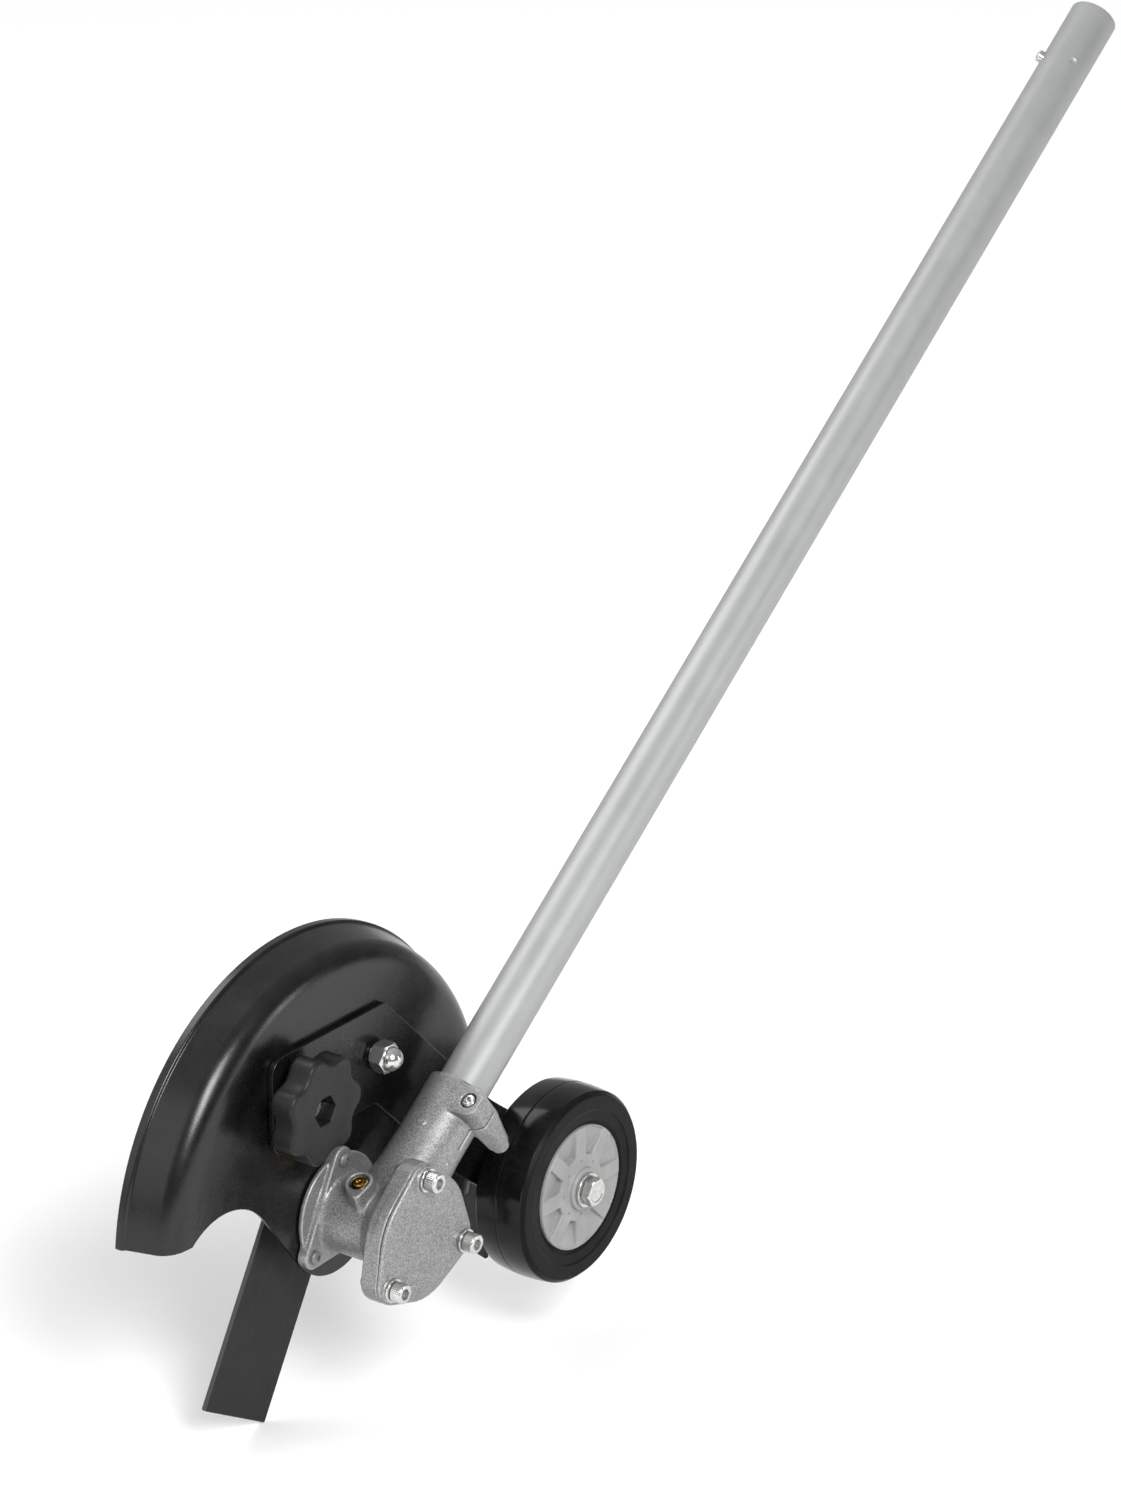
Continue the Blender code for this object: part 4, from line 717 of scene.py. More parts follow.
def blade_steel():
    n = Finish("blade_steel", grey(0.009, 0.001), 0.15, 0.42, Specular_IOR_Level=0.11)
    rolled = n.noise(1.0, 3.0, vector=n.turned((BLADE_TILT - QUARTER, 0, 0), (900, 40, 900)))
    cloud = n.noise(70.0, 5.0)
    worn = n.ramp(n.edges(), 0.51, 0.6, 0.0, 0.8)
    base = n.blend(n.spread(cloud), grey(0.007, 0.001), grey(0.012, 0.001))
    base = n.blend(worn, base, grey(0.16))
    return n.show(base, n.spread(rolled, 0.36, 0.5), (rolled, 0.12, 0.00008), (cloud, 0.08, 0.0003))


def plated(name, metallic, patches, bright, dull, rough, grain):
    """A metal in two shades, with a roughness that follows them."""
    n = Finish(name, bright, metallic, sum(rough) / 2)
    cloud = n.noise(patches, 4.0)
    base = n.blend(n.ramp(cloud, 0.35, 0.7, 0.0, 1.0), bright, dull)
    scale, strength, distance = grain
    return n.show(base, n.spread(cloud, *rough), (n.noise(scale, 2.0), strength, distance))


def bright_steel():
    n = Finish("bright_steel", grey(0.52), 1.0, 0.28)
    ground = n.noise(1.0, 3.0, vector=n.turned((0, 0, 0), (2400, 200, 200)))
    oil = n.noise(180.0, 4.0)
    base = n.blend(n.ramp(oil, 0.35, 0.7, 0.0, 1.0), grey(0.55), (0.4, 0.39, 0.37))
    return n.show(base, n.spread(ground, 0.2, 0.36), (ground, 0.08, 0.00005))


def plastic(name, dark, light, grain_scale, strength, rough, gloss):
    n = Finish(name, dark, 0.0, sum(rough) / 2, Specular_IOR_Level=gloss)
    grain = n.noise(grain_scale, 3.0, 0.6)
    cloud = n.noise(85.0, 5.0)
    base = n.blend(n.spread(cloud), dark, light)
    return n.show(base, n.spread(grain, *rough), (grain, strength, 0.00014), (cloud, 0.05, 0.0005))


def tyre_tread():
    n = Finish("tyre_tread", grey(0.005), 0.0, 0.14, Specular_IOR_Level=0.18)
    scuff = n.noise(55.0, 6.0, 0.65)
    base = n.blend(n.ramp(scuff, 0.45, 0.75, 0.0, 1.0), grey(0.004), grey(0.011))
    rough = n.ramp(scuff, 0.35, 0.7, 0.1, 0.24)
    return n.show(base, rough, (n.noise(1300.0, 2.0), 0.03, 0.0001), (scuff, 0.03, 0.0006))


BLACK = (grey(0.006, 0.0004), grey(0.01, 0.0004))
HUB_GREY = (grey(0.25, -0.003), grey(0.3, -0.003))
BRASS = ((0.85, 0.6, 0.24), (0.66, 0.43, 0.15))
ZINC = (grey(0.6, -0.01), grey(0.46, -0.015))
FINISH = {
    "tube_aluminium": tube_aluminium(),
    "cast_aluminium": cast_aluminium(),
    "black_paint": black_paint(),
    "blade_steel": blade_steel(),
    "zinc": plated("zinc", 0.9, 420.0, *ZINC, (0.13, 0.26), (2600.0, 0.07, 0.00005)),
    "bright_steel": bright_steel(),
    "brass": plated("brass", 1.0, 500.0, *BRASS, (0.1, 0.22), (2400.0, 0.08, 0.00005)),
    "black_plastic": plastic("black_plastic", *BLACK, 900.0, 0.8, (0.34, 0.54), 0.26),
    "grey_plastic": plastic("grey_plastic", *HUB_GREY, 900.0, 0.22, (0.36, 0.5), 0.3),
    "tyre": plastic("tyre", grey(0.004), grey(0.008), 700.0, 0.18, (0.36, 0.5), 0.08),
    "rubber": plastic("rubber", grey(0.011), grey(0.02), 600.0, 0.25, (0.45, 0.6), 0.22),
}
TREAD = tyre_tread()
DULL_ZINC = plated("dull_zinc", 0.5, 420.0, grey(0.24), grey(0.16), (0.36, 0.5), (1800.0, 0.12, 0.00008))


# Pieces

def outward(degrees):
    """Axes at a place round the tube, the last of them pointing out."""
    turn = radians(degrees)
    out = cos(turn) * NORMAL + sin(turn) * X
    return np.cross(out, ALONG), ALONG, out


def drive_tube():
    ring = [(TUBE_BORE, TUBE_SEAT), (TUBE_RADIUS, TUBE_SEAT), (TUBE_RADIUS, TUBE_TOP), (TUBE_BORE, TUBE_TOP)]
    tube = mesh_piece("outer_tube_fine", lathe(SHAFT, ZERO, ring, 0.35, 128))
    centre = (TUBE_TOP - BUTTON_DROP) * ALONG
    button_axes = outward(BUTTON_SIDE)
    hole_radius = BUTTON_RADIUS + FIT
    hole = [(0, 7), (hole_radius, 7), (hole_radius, 17), (0, 17)]
    dent = [(0, 12.3)] + arc((0, 16.4), 4.1, -1.3, 0.9, 10) + [(0, 19.6)]
    carve(tube, [spin(button_axes, centre, hole, 48), spin(outward(DENT_SIDE), centre, dent, 32)])
    dress(tube, "tube_aluminium", "frame", ["outer_tube"])
    top = sqrt(TUBE_BORE**2 - BUTTON_FLANGE**2) - FIT
    low = top - 1.5
    line = [(0, low), (BUTTON_FLANGE, low), (BUTTON_FLANGE, top), (BUTTON_RADIUS, top)]
    for r, h in arc((0, 0), BUTTON_RADIUS, 0.0, QUARTER, 10):
        line.append((r, BUTTON_FOOT + h * BUTTON_CROWN / BUTTON_RADIUS))
    fine("lock_button", spin(button_axes, centre, line, 48), "zinc", "button")


def gear_case():
    """The casting. Lists of pairs are (place along the axis, radius)."""
    field = Field((-31.5, -38.13, -42.07), (26.3, 84, 76), CASE_GRID)
    ear_outline = eared(FLANGE_EAR, FLANGE_EAR, FLANGE_CIRCLE, FLANGE_TURNS)
    ears = field.prism(SPINDLE, ZERO, ear_outline, FLANGE_BACK, FLANGE_BACK + FLANGE_THICK, 0.8)
    dip = asin(FLANGE_FOOT / FLANGE_RIM)
    rim = field.prism(SPINDLE, ZERO, arc((0, 0), FLANGE_RIM, -dip, pi + dip, 72), -28.1, -25.6, 0.6)
    waist = [(-30, 22.6), (-25, 21.2), (-20, 19.8), (2, 19.6), (8, 22.4), (13, 27.0), (18.65, 31.0),
             (30, 31.5)]
    neck = field.bar(SPINDLE, ZERO, waist, -26.0, 26.0)
    body = field.prism(SPINDLE, ZERO, eared(*BODY_SHAPE), 13.7, 30.0, 1.4)
    sleeve = [(0, SOCKET_ROOT), (14, SOCKET_ROOT), (45, SOCKET_RADIUS), (90, SOCKET_RADIUS)]
    socket = field.bar(SHAFT, ZERO, sleeve, 0.0, SOCKET_TOP, 0.8)
    taper = [(-40, 4.4), (-24.6, 4.4), (-24.4, 5.6), (-8, 7.6), (30, 7.6)]
    lug = field.bar(CLAMP, CLAMP_SCREW, taper, -29.0, 2.1, 0.7)
    pad_outline = arc((0, 0), 8.0, -QUARTER, QUARTER, 24) + [(-17, 8.0), (-17, -8.0)]
    pad = field.prism(CLAMP, CLAMP_SCREW, pad_outline, -6.0, 14.5, 0.7)
    drop = hull(circle_loop((0, 0), 7.0, 40) + circle_loop((-7.2, 3.9), 2.6, 24))
    boss = field.prism(PLUG, PLUG_PLACE, drop, 15.0, 27.0, 0.7)
    shape = join(join(neck, rim, 1.6), ears, 1.2)
    for more, soft in ((body, 3.5), (socket, 3.0), (join(lug, pad, 1.0), 1.4), (boss, 1.6)):
        shape = join(shape, more, soft)
    for spot, turn, reach in ((50.0, 4.0, SOCKET_RADIUS), (12.0, 21.5, SOCKET_ROOT)):
        mark = field.bar(outward(turn), spot * ALONG, 2.3, reach - 5.0, reach + 0.4)
        shape = join(shape, mark, 0.4)
    shape = join(shape, field.bar(CLAMP, CLAMP_SCREW - 8.6 * X, 2.2, 10.0, 14.9), 0.3)
    hollow = [(-FAR, 14.3), (-23.01, 14.3), (-23.0, 13.3), (-14.1, 13.3), (-14.09, 7.3), (-9.0, 7.3),
              (-8.99, 16.4), (7, 16.4), (11.5, 21.4), (FAR, 21.4)]
    bore = [(0, 14.0), (24.4, 14.0), (24.41, 11.3), (40.7, 11.3), (40.71, 13.3), (99, 13.3)]
    screw_way = [(-FAR, 2.3), (CLAMP_SEAT, 2.3), (CLAMP_SEAT + 0.01, 4.1), (30, 4.1)]
    plug_way = [(0, 3.3), (PLUG_SEAT, 3.3), (PLUG_SEAT + 0.01, 5.3), (FAR, 5.3)]
    slit = [(TUBE_BORE, 48), (FAR, 48), (FAR, 90), (TUBE_BORE, 90)]
    cuts = [
        field.bar(SPINDLE, ZERO, hollow, -FAR, FAR),
        field.bar(SHAFT, ZERO, bore, 0.0, 99.0),
        field.bar(CLAMP, CLAMP_SCREW, screw_way, -FAR, 30.0),
        field.prism(CLAMP, ZERO, slit, -SLIT / 2, SLIT / 2),
        field.bar(PLUG, PLUG_PLACE, plug_way, 7.0, FAR),
    ]
    for place in COVER_SPOTS:
        cuts.append(field.bar(SPINDLE, place, M6_HOLE, 7.6, FAR))
    for place in FLANGE_SPOTS:
        cuts.append(field.bar(SPINDLE, place, M5_HOLE, -FAR, -18.0))
    for cut in cuts:
        shape = np.maximum(shape, -cut)
    across = field.place[..., 0]
    shape = np.maximum(shape, np.maximum(across - SEAM, FLANGE_BACK - across))
    cast("gear_case_cast", field.mesh(shape), "cast_aluminium", "frame", ["gear_case"])


def gear_cover():
    """The end cover: its face falls away towards the rim, and flat pads carry the screws."""
    field = Field((13.17, -42.13, -42.07), (29.5, 45, 45), CASE_GRID)
    outline = eared(*BODY_SHAPE)
    across = field.place[..., 0]
    shape = field.prism(SPINDLE, ZERO, outline, 18.0, COVER_FACE, 1.2)
    inset = field.prism(SPINDLE, ZERO, outline, -99.0, 99.0)
    fall = np.clip(1 + inset / 7.0, 0, 1) ** 2
    shape = np.maximum(shape, across - COVER_FACE + 0.4 + 1.3 * fall)
    for outer, inner in zip(ring_places(COVER_CIRCLE, COVER_TURNS), ring_places(17.0, COVER_TURNS)):
        ear = hull(circle_loop(outer, 6.4, 40) + circle_loop(inner, 1.2, 24))
        shape = join(shape, field.prism(SPINDLE, ZERO, ear, 20.0, COVER_FACE, 0.3), 0.4)
    shape = np.maximum(shape, SEAM + FIT - across)
    boss = field.bar(SPINDLE, ZERO, 17.0, SEAM - 7.7, SEAM + 2.0)
    shape = np.minimum(shape, boss)
    shape = np.maximum(shape, -field.bar(SPINDLE, ZERO, 13.3, 0.0, SEAM + 2 * FIT))
    for place in COVER_SPOTS:
        shape = np.maximum(shape, -field.bar(SPINDLE, place, M6_HOLE, 0.0, FAR))
    cast("gear_cover_cast", field.mesh(shape), "cast_aluminium", "frame", ["gear_cover"])


def socket_screw(name, axes, place, seat, grip, size):
    """A cap screw with a knurled head and a hexagon socket."""
    radius, head, length, corner, depth = size
    top = seat + length
    tail = seat - grip
    key = hexagon(corner)

    def knurl(t):
        return head - 0.08 + 0.08 * cos(36 * t)

    line = [(0, tail), (radius - 0.4, tail), (radius, tail + 0.5), (radius, seat), (head - 0.5, seat),
            (head - 0.06, seat + 0.4), (knurl, seat + 0.7), (knurl, top - 1.1), (head - 0.1, top - 0.7),
            (head - 0.3, top - 0.25), (head - 0.7, top), (lambda t: key(t) + 0.3, top), (key, top - 0.3),
            (key, top - depth), (0, top - depth - 0.3)]
    fine(name, spin(axes, place, line, 144), "zinc", sharp=40.0)


def case_fittings():
    foot = COVER_FACE + FIT
    seat = foot + COVER_WASHER
    for k, place in enumerate(COVER_SPOTS):
        fine(f"cover_washer_{k + 1}", washer(place, M6_HOLE, 6.0, foot, seat), "zinc")
        socket_screw(f"cover_screw_{k + 1}", SPINDLE, place, seat + FIT, 19.4, M6)
    socket_screw("clamp_screw", CLAMP, CLAMP_SCREW, CLAMP_SEAT + FIT, 35.0, M4)
    head = PLUG_SEAT + FIT
    high = head + 3.0
    corner = hexagon(4.6)
    flat = 3.86
    line = [(0, 16.4), (3.0, 16.4), (3.0, head), (corner, head),
            (corner, lambda t: high - HEAD_CHAMFER * (corner(t) - flat)), (flat, high), (2.6, high),
            (2.3, high + 0.4), (2.2, high + 0.9), (1.6, high + 1.0), (1.1, high + 0.9), (0.9, high + 0.2),
            (0, high + 0.1)]
    fine("grease_plug", spin(PLUG, PLUG_PLACE, line, 72), "brass")


def spindle_set():
    tail = -66.0
    pitch = 1.25
    line = [(0, tail), (4.3, tail), (5.0, tail + 0.8)]
    for k in range(9):
        low = tail + 1.0 + k * pitch
        line += [(5.0, low), (4.45, low + 0.5 * pitch)]
    line += [(5.0, -53.0), (5.0, -43.0), (6.7, -43.0), (7.0, -42.7), (7.0, -22.7), (5.0, -22.7),
             (5.0, 23.4), (0, 23.4)]
    fine("spindle", spin(SPINDLE, ZERO, line, 64), "bright_steel", "cutter")
    fine("blade_adapter", washer(ZERO, ARBOR_HOLE, 17.0, -47.65, -43.3, 0.7), "zinc", "cutter")
    dish = [(ARBOR_HOLE, -50.75), (15.0, -50.75), (15.0, -52.4), (13.6, -53.15), (ARBOR_HOLE, -53.15)]
    fine("blade_washer", lathe(SPINDLE, ZERO, dish, 0.4), "zinc", "cutter")
    fine("blade_nut", hex_piece(ZERO, 9.8, -61.45, -53.45, ARBOR_HOLE), "zinc", "cutter")
    down = np.array((-sin(BLADE_TILT), -cos(BLADE_TILT)))
    side = np.array((-down[1], down[0]))
    long, wide = BLADE_HALF
    bar = fillet([(-long, -wide), (long, -wide), (long, wide), (-long, wide)], 1.2, 4)
    outline = [tuple(a * down + b * side) for a, b in bar]
    shape = plate(ZERO, outline, [circle_loop((0, 0), ARBOR_HOLE)], BLADE_LOW, BLADE_HIGH, 0.35)
    fine("blade", shape, "blade_steel", "cutter")


def guard_profile(inset):
    """One side of the guard's section: a flat, a shoulder that starts gently, a sloping skirt and a lip."""
    end, end_x = SKIRT_START
    lead = GUARD_LEAD
    slope = GUARD_SLOPE
    wide = GUARD_LEAD_RADIUS
    tight = (GUARD_FACE - end_x - wide * (1 - cos(lead))) / (cos(lead) - cos(slope))
    start = end - wide * sin(lead) - tight * (sin(slope) - sin(lead))
    bends = [
        (wide, start, GUARD_FACE - wide, np.linspace(0, lead, 5)[:-1]),
        (tight, end - tight * sin(slope), end_x - tight * cos(slope), np.linspace(lead, slope, 15)),
    ]
    line = [(0, GUARD_FACE - inset), (60, GUARD_FACE - inset)]
    for bend, out, x, turns in bends:
        line += [(out + (bend - inset) * sin(t), x + (bend - inset) * cos(t)) for t in turns]
    lip = GUARD_LIP - inset
    edge = [line[-1], (GUARD_SKIRT - inset, GUARD_SKIRT_X), (lip, GUARD_SKIRT_X - 1.0), (lip, GUARD_RIM_X)]
    return line + fillet(edge, 1.2, 5, closed=False)[1:]


def guard():
    line = guard_profile(0)
    back = guard_profile(GUARD_SHEET)
    rim = fillet([line[-2], line[-1], back[-1], back[-2]], 0.7, 5, closed=False)
    profile = line[:-1] + rim[1:-1] + back[:-1][::-1]
    shell = mesh_piece("blade_guard_fine", spin(SPINDLE, GUARD_CENTRE * Z, profile, 240))
    carve(shell, [flat_cutter(guard_opening(), -70, -10)])
    holes = [((0.0, 0.0), 16.0), (PIVOT[1:], BOLT_HOLE), (STUD[1:], BOLT_HOLE)]
    holes += [(place, M5_HOLE) for place in ring_places(FLANGE_CIRCLE, FLANGE_TURNS)]
    carve(shell, [flat_cutter(circle_loop(place, radius, 40), -40, -20) for place, radius in holes])
    dress(shell, "black_paint", "frame", ["blade_guard"])


def flat_cutter(outline, low, high):
    count = len(outline)
    points = [np.array((x, a, b)) for x in (low, high) for a, b in outline]
    return np.array(points), [range(count), range(count, 2 * count)] + bands(2, count)


def guard_opening():
    """What is open below the guard: the front end, the arch, the lobe under the case and the rear end."""
    front = asin((GUARD_FRONT - ARCH[1]) / ARCH_RADIUS)
    meet = TAU + atan2(ARCH[1], ARCH[0]) - acos(-(ARCH_RADIUS + GUARD_LOBE) / hypot(*ARCH))
    line = [(-BELOW, -BELOW), (-BELOW, GUARD_FRONT)]
    line += arc(ARCH, ARCH_RADIUS, pi - front, meet, 28)
    line += arc((0, 0), GUARD_LOBE, meet - pi, radians(-45), 24)
    rear = sqrt(GUARD_SKIRT**2 - (GUARD_REAR - GUARD_CENTRE) ** 2)
    return line + [(rear, GUARD_REAR), (BELOW, GUARD_REAR), (BELOW, -BELOW)]


def guard_screws():
    seat = FLANGE_BACK + FLANGE_THICK + FIT
    top = seat + 2.0
    key = hexagon(1.5)
    nut_high = GUARD_INSIDE - FIT
    nut_low = nut_high - 4.5
    tail = nut_low - FIT
    line = [(0, tail), (2.1, tail), (2.5, tail + 0.5), (2.5, seat), (3.4, seat), (3.4, seat + 0.8)]
    line += [(3.4 * cos(t), seat + 0.8 + 1.2 * sin(t)) for t in np.linspace(0.2, 1.0, 6)]
    line += [(key, top), (key, top - 1.4), (0, top - 1.6)]
    for k, place in enumerate(FLANGE_SPOTS):
        fine(f"guard_screw_{k + 1}", spin(SPINDLE, place, line, 72), "zinc", materials=[DULL_ZINC])
        fine(f"guard_nut_{k + 1}", hex_piece(place, 4.7, nut_low, nut_high, M5_HOLE), "zinc")


def joggle(along):
    """How far the arm stands out at a place along it, with round bends."""
    share = min(max((along - ARM_STEP_START) / ARM_STEP_RUN, 0.0), 1.0)
    return ARM_STEP * share * share * (3 - 2 * share)


def slot_outline():
    """A curved slot about the pivot that the stud runs in."""
    ends = {t: (STUD_REACH * cos(t), STUD_REACH * sin(t)) for t in (SLOT_START, SLOT_END)}
    line = arc((0, 0), STUD_REACH + BOLT_HOLE, SLOT_START, SLOT_END, 16)
    line += arc(ends[SLOT_END], BOLT_HOLE, SLOT_END, SLOT_END + pi, 12)[1:-1]
    line += arc((0, 0), STUD_REACH - BOLT_HOLE, SLOT_END, SLOT_START, 16)
    return line + arc(ends[SLOT_START], BOLT_HOLE, SLOT_START + pi, SLOT_START + TAU, 12)[1:-1]


def wheel_bracket():
    upper = ARM_OFFSET + ARM_HALF
    lower = ARM_OFFSET - ARM_HALF
    before = -60.0

    def on_arm(along, over):
        spot = along * ARM_OUT + over * ARM_OVER
        return (spot[1], spot[2])

    def on_edge(over, height):
        return on_arm((over * cos(ARM_FALL) - height) / sin(ARM_FALL), over)

    def turn(points, radius, steps):
        return fillet(points, radius, steps, closed=False)[1:-1]

    end = on_arm(ARM_REACH, ARM_OFFSET)
    top = on_edge(upper, PLATE_TOP)
    front = turn([(PLATE_FRONT, PLATE_FOOT), (PLATE_FRONT, PLATE_TOP), top], PLATE_CORNER, 10)
    corner = turn([front[-1], top, on_arm(60, upper)], 3.0, 6)
    tip = arc(end, ARM_HALF, QUARTER - ARM_FALL, -QUARTER - ARM_FALL, 32)
    inner = turn([on_arm(60, lower), on_edge(lower, PLATE_FOOT), (before, PLATE_FOOT)], 6.0, 8)
    base = turn([(before, PLATE_FOOT), (PLATE_FRONT, PLATE_FOOT), (PLATE_FRONT, 0.0)], PLATE_CORNER, 10)
    holes = [circle_loop((0, 0), BOLT_HOLE), circle_loop(end, BOLT_HOLE), slot_outline()]
    shape = plate(PIVOT, base + front + corner + tip + inner, holes, BRACKET_BACK, BRACKET_FACE, 0.5)
    edit = bmesh.new()
    corners = [edit.verts.new(p) for p in shape[0]]
    for face in shape[1]:
        edit.faces.new([corners[k] for k in face])
    for along in np.linspace(ARM_STEP_START - 1.0, ARM_STEP_START + ARM_STEP_RUN + 1.0, 23):
        everything = list(edit.verts) + list(edit.edges) + list(edit.faces)
        bmesh.ops.bisect_plane(edit, geom=everything, plane_co=Vector(PIVOT + along * ARM_OUT),
                               plane_no=Vector(ARM_OUT), dist=1e-5)
    points, faces = read_out(edit)
    points[:, 0] += [joggle((p - PIVOT) @ ARM_OUT) for p in points]
    fine("wheel_bracket", (points, faces), "black_paint", "bracket")


def carriage_bolt(name, place, tail):
    head = GUARD_INSIDE - FIT
    line = [(9.0 * sin(t), head - 2.7 * cos(t)) for t in np.linspace(0, QUARTER, 9)]
    line += [(9.0, head), (BOLT_RADIUS, head), (BOLT_RADIUS, tail - 0.6), (BOLT_RADIUS - 0.6, tail),
             (0, tail)]
    fine(name, spin(SPINDLE, place, line, 64), "zinc")


def pivot_set():
    foot = BRACKET_FACE + FIT
    seat = foot + 1.0
    low = seat + FIT
    top = low + 13.8
    edge = low + 7.6
    fine("pivot_washer", washer(PIVOT, BOLT_HOLE, 6.2, foot, seat), "zinc")
    carriage_bolt("pivot_bolt", PIVOT, top - 2.5)
    dome = [(6.5, edge), (6.2, edge + 0.3)] + arc((0, top - 6.2), 6.2, 0.0, QUARTER, 16)
    fine("dome_nut", hex_piece(PIVOT, 8.2, low, edge, 0, dome), "zinc")


def knob_set():
    foot = BRACKET_FACE + FIT
    seat = foot + 1.6
    hub_low = seat + FIT
    low = hub_low + 5.2
    top = low + 14.0
    floor_at = top - 15.0
    nut_low = floor_at + FIT
    carriage_bolt("knob_stud", STUD, nut_low + 8.5)
    fine("knob_washer", washer(STUD, BOLT_HOLE, 9.0, foot, seat, 0.4), "zinc")

    def lobed(inset):
        def radius(t):
            wave = cos(KNOB_LOBES * t)
            return KNOB_RADIUS - 2.2 * (1 - copysign(abs(wave) ** 0.8, wave)) - inset
        return radius

    line = [(BOLT_HOLE, hub_low), (10.4, hub_low), (11.0, hub_low + 0.6), (11.0, low - 0.6), (12.0, low)]
    line += [(lobed(inset), low + rise) for rise, inset in round_edge(2.5, 6)]
    line += [(lobed(inset), top - rise) for rise, inset in round_edge(2.2, 6)[::-1]]
    key = hexagon(7.8)
    line += [(17.0, top), (16.0, top - 0.5), (lambda t: key(t) + 0.4, top - 0.5), (key, top - 0.9),
             (key, floor_at), (BOLT_HOLE, floor_at)]
    fine("knob", spin(SPINDLE, STUD, line, 168), "black_plastic", "knob", sharp=38.0)
    nut = hex_piece(STUD, NUT_CORNER, nut_low, nut_low + NUT_THICK, BOLT_HOLE)
    fine("knob_nut", nut, "zinc", "knob")


def tyre():
    low = WHEEL_LOW
    high = WHEEL_HIGH
    half = (high - low) / 2
    back = [(TYRE_BORE, low + 2.0), (34.7, low), (47.1, low), (TYRE_SHOULDER, low + 2.0)]
    mould_line = -0.7
    tread = []
    for across in np.linspace(-13.0, 13.0, 53):
        groove = 0.25 if abs(across - mould_line) < 0.3 else 0.0
        fall = (TYRE_CROWN - TYRE_SHOULDER) * (across / half) ** 2
        tread.append((TYRE_CROWN - fall - groove, low + half + across))
    front = [(TYRE_SHOULDER, high - 2.0), (47.4, high), (40.6, high), (39.8, high - 0.6), (35.0, high - 0.9),
             (34.0, high - 1.6), (TYRE_BORE, high - 2.0)]
    section = fillet(back + tread[:1], 1.0, 4, closed=False)[:-1] + tread
    section += fillet(tread[-1:] + front, 0.9, 4, closed=False)[1:]
    shape = spin(SPINDLE, AXLE, section, 192)
    piece = fine("tyre", shape, "tyre", "wheel", materials=[FINISH["tyre"], TREAD])
    middle = Vector((AXLE + HEAD) * MM)
    for face in piece.data.polygons:
        away = face.center - middle
        if hypot(away.y, away.z) > TREAD_EDGE * MM:
            face.material_index = 1


def hub():
    """A moulded hub: spokes with sloping panels between them, deep near the boss and shallow at the rim."""
    face = WHEEL_HIGH - 0.3
    back = WHEEL_LOW + 2.0
    low = AXLE - np.array((0, 34.13, 34.07)) + (WHEEL_LOW - 0.97) * X
    field = Field(low, AXLE + np.array((0, 34, 34)) + (HUB_TOP + 1.5) * X, HUB_GRID)
    shape = field.bar(SPINDLE, AXLE, HUB_RADIUS, back, face, 0.5)
    shape = np.maximum(shape, -field.bar(SPINDLE, AXLE, HUB_RADIUS - 3.7, back - 9.0, face - 8.0))
    boss_low = BRACKET_FACE + ARM_STEP + SPACER + 2 * FIT
    shape = join(shape, field.bar(SPINDLE, AXLE, 11.0, boss_low, HUB_TOP, 0.5), 0.9)
    a, b, h = field.local(SPINDLE, AXLE)
    lean = pi / HUB_SPOKES
    for k in range(HUB_SPOKES):
        turn = TAU * (k + 0.5) / HUB_SPOKES
        out = a * cos(turn) + b * sin(turn)
        aside = b * cos(turn) - a * sin(turn)
        sides = 4.2 - out * sin(lean) + np.abs(aside) * cos(lean)
        ground = face - np.interp(out, (PANEL_INNER, 31.4), (3.6, 1.0)).astype(np.float32) - h
        panel = np.maximum(np.maximum(sides, PANEL_INNER - out), np.maximum(ground, np.hypot(a, b) - 31.5))
        shape = -join(-shape, panel, 0.5)
        spoke = TAU * k / HUB_SPOKES
        pin = AXLE + 14.4 * (cos(spoke) * Y + sin(spoke) * Z)
        shape = np.maximum(shape, -field.bar(SPINDLE, pin, 0.7, face - 1.5, face + 9.0))
    shape = np.maximum(shape, -field.bar(SPINDLE, AXLE, 6.3, -FAR, FAR))
    cast("wheel_hub_fine", field.mesh(shape), "grey_plastic", "wheel", ["wheel_hub"], passes=1)


def axle_set():
    foot = BRACKET_FACE + ARM_STEP + FIT
    fine("axle_spacer", washer(AXLE, BOLT_HOLE, 8.0, foot, foot + SPACER, 0.4), "zinc", "bracket")
    seat = HUB_TOP + FIT
    fine("axle_washer", washer(AXLE, BOLT_HOLE, 9.0, seat, seat + AXLE_WASHER, 0.4), "zinc", "bracket")
    nut_high = BRACKET_BACK + ARM_STEP - FIT
    tail = nut_high - NUT_THICK
    fine("axle_nut", hex_piece(AXLE, NUT_CORNER, tail, nut_high, BOLT_HOLE), "zinc", "bracket")
    head = seat + AXLE_WASHER + FIT
    top = head + 4.7
    across = hexagon(NUT_CORNER)
    flat = 6.3
    line = [(0, tail), (BOLT_RADIUS - 0.5, tail), (BOLT_RADIUS, tail + 0.5), (BOLT_RADIUS, head),
            (across, head), (across, lambda t: top - HEAD_CHAMFER * (across(t) - flat)), (flat, top),
            (5.0, top), (4.6, top - 0.3), (0, top - 0.3)]
    fine("axle_bolt", spin(SPINDLE, AXLE, line, 72), "zinc", "bracket")


def skirt_radius(x):
    start, start_x = SKIRT_START
    return start + (GUARD_SKIRT - start) * (x - start_x) / (GUARD_SKIRT_X - start_x)


